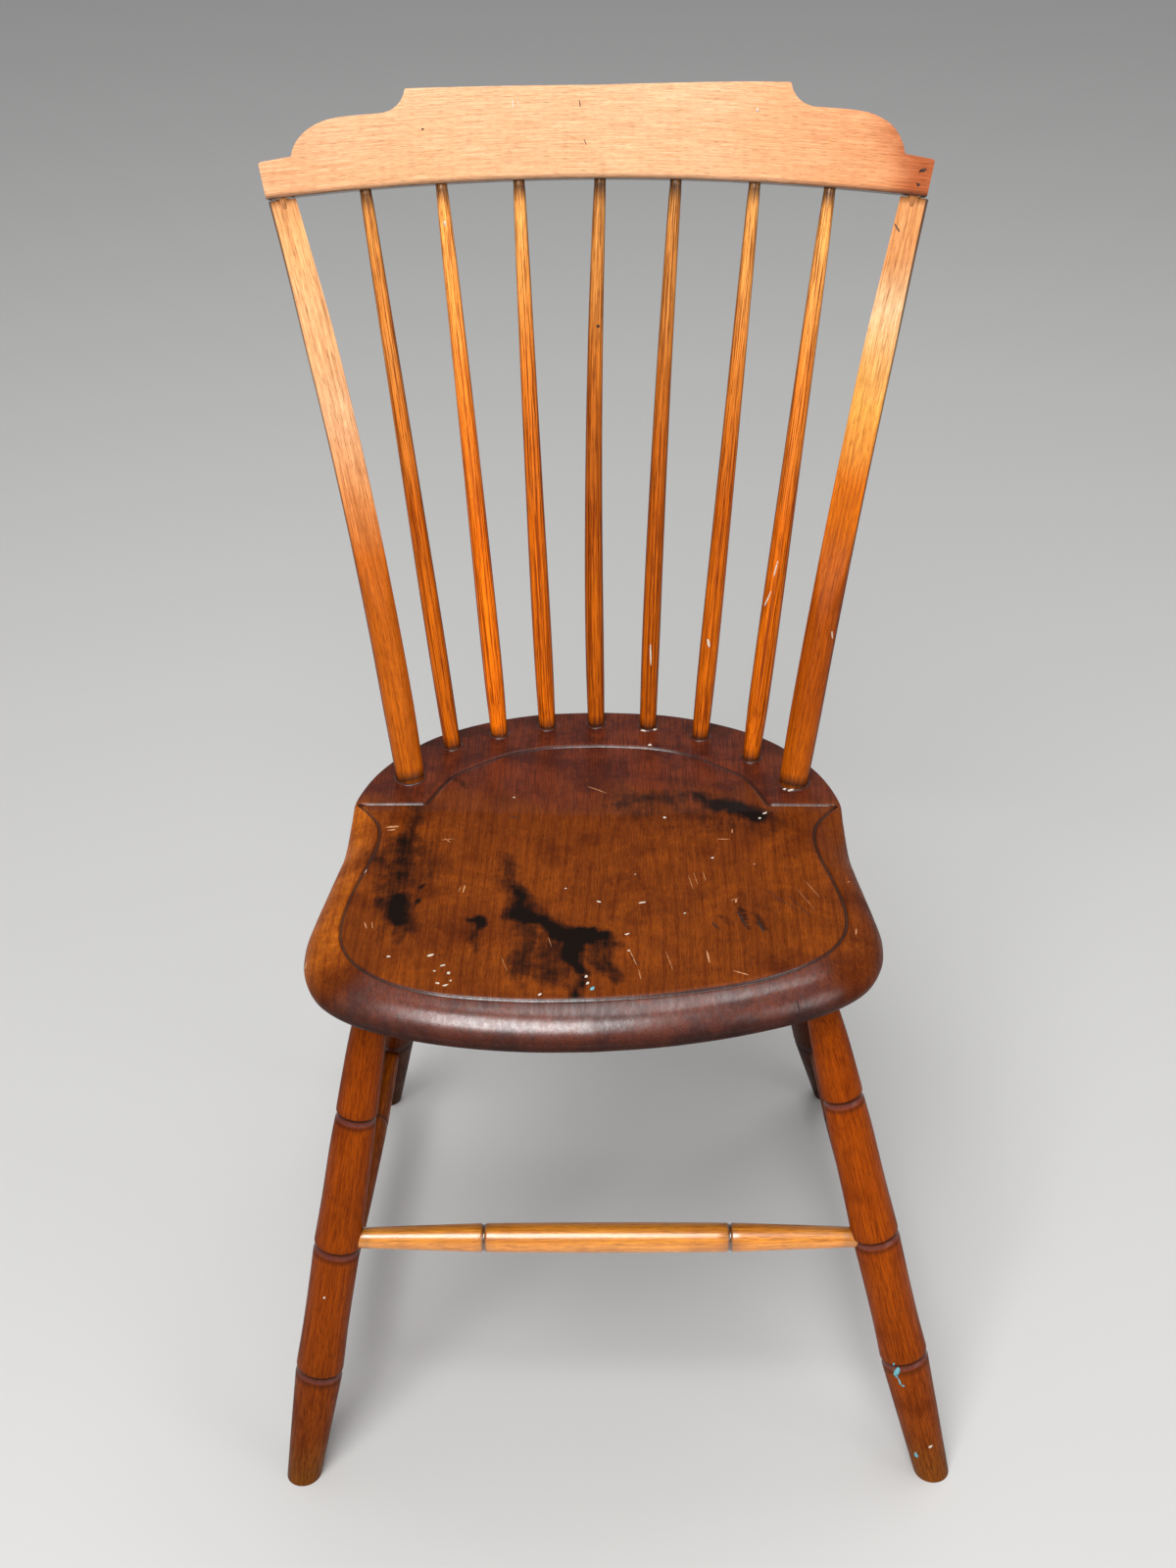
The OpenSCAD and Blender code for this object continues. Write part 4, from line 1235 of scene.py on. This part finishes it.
# %% White and blue-green paint
SEAT_FLECKS = [  # x, y, length, width, direction
    (-132, -111, 3.4, 2.6, 0), (-105, -109, 6.0, 2.4, 35), (-96, -120, 4.4, 2.0, 20),
    (-92, -128, 4.2, 2.6, 60), (-98, -139, 3.6, 2.2, -30), (-93, -141, 5.0, 2.0, 25),
    (-101, -126, 2.4, 1.6, 0), (-90, -136, 2.6, 1.6, 60), (-33, -150, 3.8, 2.8, 40),
    (-4, -131, 3.8, 2.4, 80), (-3, -138, 4.0, 2.4, 60), (3, -46, 4.6, 2.0, -40), (32, -47, 6.2, 2.6, 15),
    (22, -84, 4.4, 1.8, 30), (23, -103, 2.4, 1.8, 0), (48, 56, 3.0, 2.6, 0), (80, 5, 2.6, 2.2, 0),
    (119, 59, 4.8, 2.6, 30), (115, 53, 2.8, 2.0, 0), (38, 151, 4.0, 3.4, 60), (-158, -15, 4.4, 2.4, 10),
    (-20, -30, 2.0, 1.6, 0), (60, -60, 2.2, 1.4, 30), (-60, 80, 2.4, 1.8, 0),
]
white = bmesh.new()
for x, y, long, wide, way in SEAT_FLECKS:
    fleck(white, "seat", (x, y, SEAT_TOP), long, wide, 0.3, way)
fleck(white, "leg_front_right", (240, -165, 33), 4, 2.6, 0.3, 20)
fleck(white, "leg_front_left", (-189, -150, 163), 3, 2, 0.25, 70)
fleck(white, "crest_rail", (110, 290, 862), 2.0, 4.0, 0.25, 10)
scratch(white, "crest_rail", (-58, 290, 872), (-58, 290, 864), 1.1)
scratch(white, "crest_rail", (-55, 290, 871), (-54, 290, 866), 0.7)
fleck(white, "spindle_2", (-108, 272, 788), 2.2, 4.4, 0.25, 0)
scratch(white, "spindle_5", (38, 185, 499), (38, 182, 478), 1.6)
scratch(white, "spindle_6", (80, 180, 506), (82, 177, 498), 2.6)
scratch(white, "spindle_7", (129, 177, 573), (127, 172, 558), 1.3)
scratch(white, "spindle_7", (125, 170, 552), (121, 167, 536), 1.5)
scratch(white, "post_right", (166, 128, 541), (166, 127, 533), 1.6)
for x, y, long in ((132, 88, 7), (139, 88, 6), (109, 119, 7), (114, 121, 5), (32, 170, 6), (43, 172, 5)):
    fleck(white, "joint_beads", (x, y, 431.5), long, 2.2, 0.4, 20 if x > 100 else 0)
old_white = plain_finish("old_white_paint", colour(196, 178, 160), colour(244, 232, 216), 0.6, 900)
settle(white, "white_flecks", old_white)

LEG_FLECKS = [  # x, y, z, length, width, direction
    (209, -160, 101, 9, 5.4, 70), (210, -160, 95, 6, 3.0, -50), (213, -162, 91, 8, 2.0, -65),
    (216, -162, 88, 3, 1.8, 20), (207, -160, 106, 3, 2, 80), (231, -164, 23, 6, 3.6, 100),
]
blue = bmesh.new()
fleck(blue, "seat", (0, -144, SEAT_TOP), 5.4, 3.4, 0.35, 60)
for x, y, z, long, wide, way in LEG_FLECKS:
    fleck(blue, "leg_front_right", (x, y, z), long, wide, 0.35, way)
old_blue = plain_finish("old_blue_paint", colour(84, 160, 176), colour(132, 198, 204), 0.55, 900)
settle(blue, "blue_flecks", old_blue)

# %% Filler in the opened joints
filler = bmesh.new()
for x, y, z, long, way in ((-222, 249, 812.5, 9, 2), (-214, 251, 812, 8, -4), (219, 251, 814, 8, -8),
                           (222, 250, 816, 5, 60)):
    fleck(filler, "crest_rail", (x, y, z), long, 2.4, 0.8, way, 0.3)
dry_filler = plain_finish("dry_filler", colour(168, 140, 112), colour(222, 204, 182), 0.75, 700)
settle(filler, "joint_filler", dry_filler)

# %% Pale scratches and dark gouges
PALE_SCRATCHES = [  # x and y of both ends, width
    (-150, 39, -137, 41, 3.2), (-148, 35, -140, 37, 2.0), (-107, 28, -101, 21, 0.9),
    (-110, 24, -98, 27, 0.7), (-88, -27, -89, -39, 1.4), (-91, -30, -92, -38, 0.7),
    (-152, -72, -149, -82, 1.0), (-147, -72, -145, -82, 0.9), (95, -44, 94, -49, 1.8),
    (90, -46, 97, -43, 0.8), (73, -100, 75, -119, 1.6), (88, -124, 101, -130, 1.6), (83, 28, 94, 27, 1.3),
    (95, 41, 95, 34, 1.2), (62, -8, 67, -37, 0.5), (66, -8, 70, -30, 0.5), (73, -9, 75, -24, 0.6),
    (172, -77, 171, -86, 1.2), (174, -20, 171, -24, 1.2), (-9, 96, 4, 89, 0.8), (-2, 92, 8, 86, 0.6),
    (22, -97, 29, -122, 0.8), (29, -122, 31, -136, 0.8), (140, -20, 152, -48, 0.4),
    (134, -30, 148, -62, 0.4), (-30, -86, -27, -100, 0.5), (46, -100, 52, -128, 0.5),
    (-60, -108, -54, -128, 0.5),
]
NEAR_TOP = SEAT_TOP - 0.5


def seat_scratches(bm, marks):
    for x1, y1, x2, y2, wide in marks:
        scratch(bm, "seat", (x1, y1, NEAR_TOP), (x2, y2, NEAR_TOP), wide)


pale_marks = bmesh.new()
seat_scratches(pale_marks, PALE_SCRATCHES)
fleck(pale_marks, "seat", (-190, -104, 418), 9, 3.4, 0.15, 80)
scratch(pale_marks, "seat", (-189, -90, 420), (-190, -98, 417), 1.6)
bare_wood = plain_finish("bare_scratched_wood", colour(168, 104, 58), colour(214, 160, 112), 0.65, 600)
settle(pale_marks, "pale_scratches", bare_wood)

DARK_GOUGES = [
    (94, -55, 101, -80, 2.2), (107, -66, 112, -86, 2.0), (77, -70, 82, -79, 1.8), (-64, 57, -52, 53, 1.2),
    (22, -105, 31, -120, 0.9), (118, -40, 138, -62, 0.7), (126, -36, 146, -70, 0.7),
    (112, -32, 128, -50, 0.6), (63, 178, 63, 190, 0.8), (-96, 172, -97, 182, 0.8), (-40, 168, -41, 186, 0.6),
]
dark_marks = bmesh.new()
seat_scratches(dark_marks, DARK_GOUGES)
scratch(dark_marks, "seat", (130, -143, 424), (130, -151, 414), 0.9)
scratch(dark_marks, "crest_rail", (-13, 300, 868), (-12, 300, 861), 0.9)
scratch(dark_marks, "crest_rail", (-10, 298, 840), (-8, 297, 835), 0.8)
fleck(dark_marks, "crest_rail", (-122, 290, 849), 2.4, 1.6, 0.06)
fleck(dark_marks, "crest_rail", (223, 252, 830), 7, 3.4, 0.08, 20)
fleck(dark_marks, "crest_rail", (220, 249, 821), 3.0, 3.0, 0.08)
fleck(dark_marks, "spindle_4", (0, 261, 716), 2.6, 3.4, 0.08)
scratch(dark_marks, "post_right", (204, 244, 797), (209, 240, 790), 1.4)
gouge = plain_finish("dark_gouge", colour(26, 12, 6), colour(52, 24, 12), 0.5, 500)
settle(dark_marks, "dark_gouges", gouge)
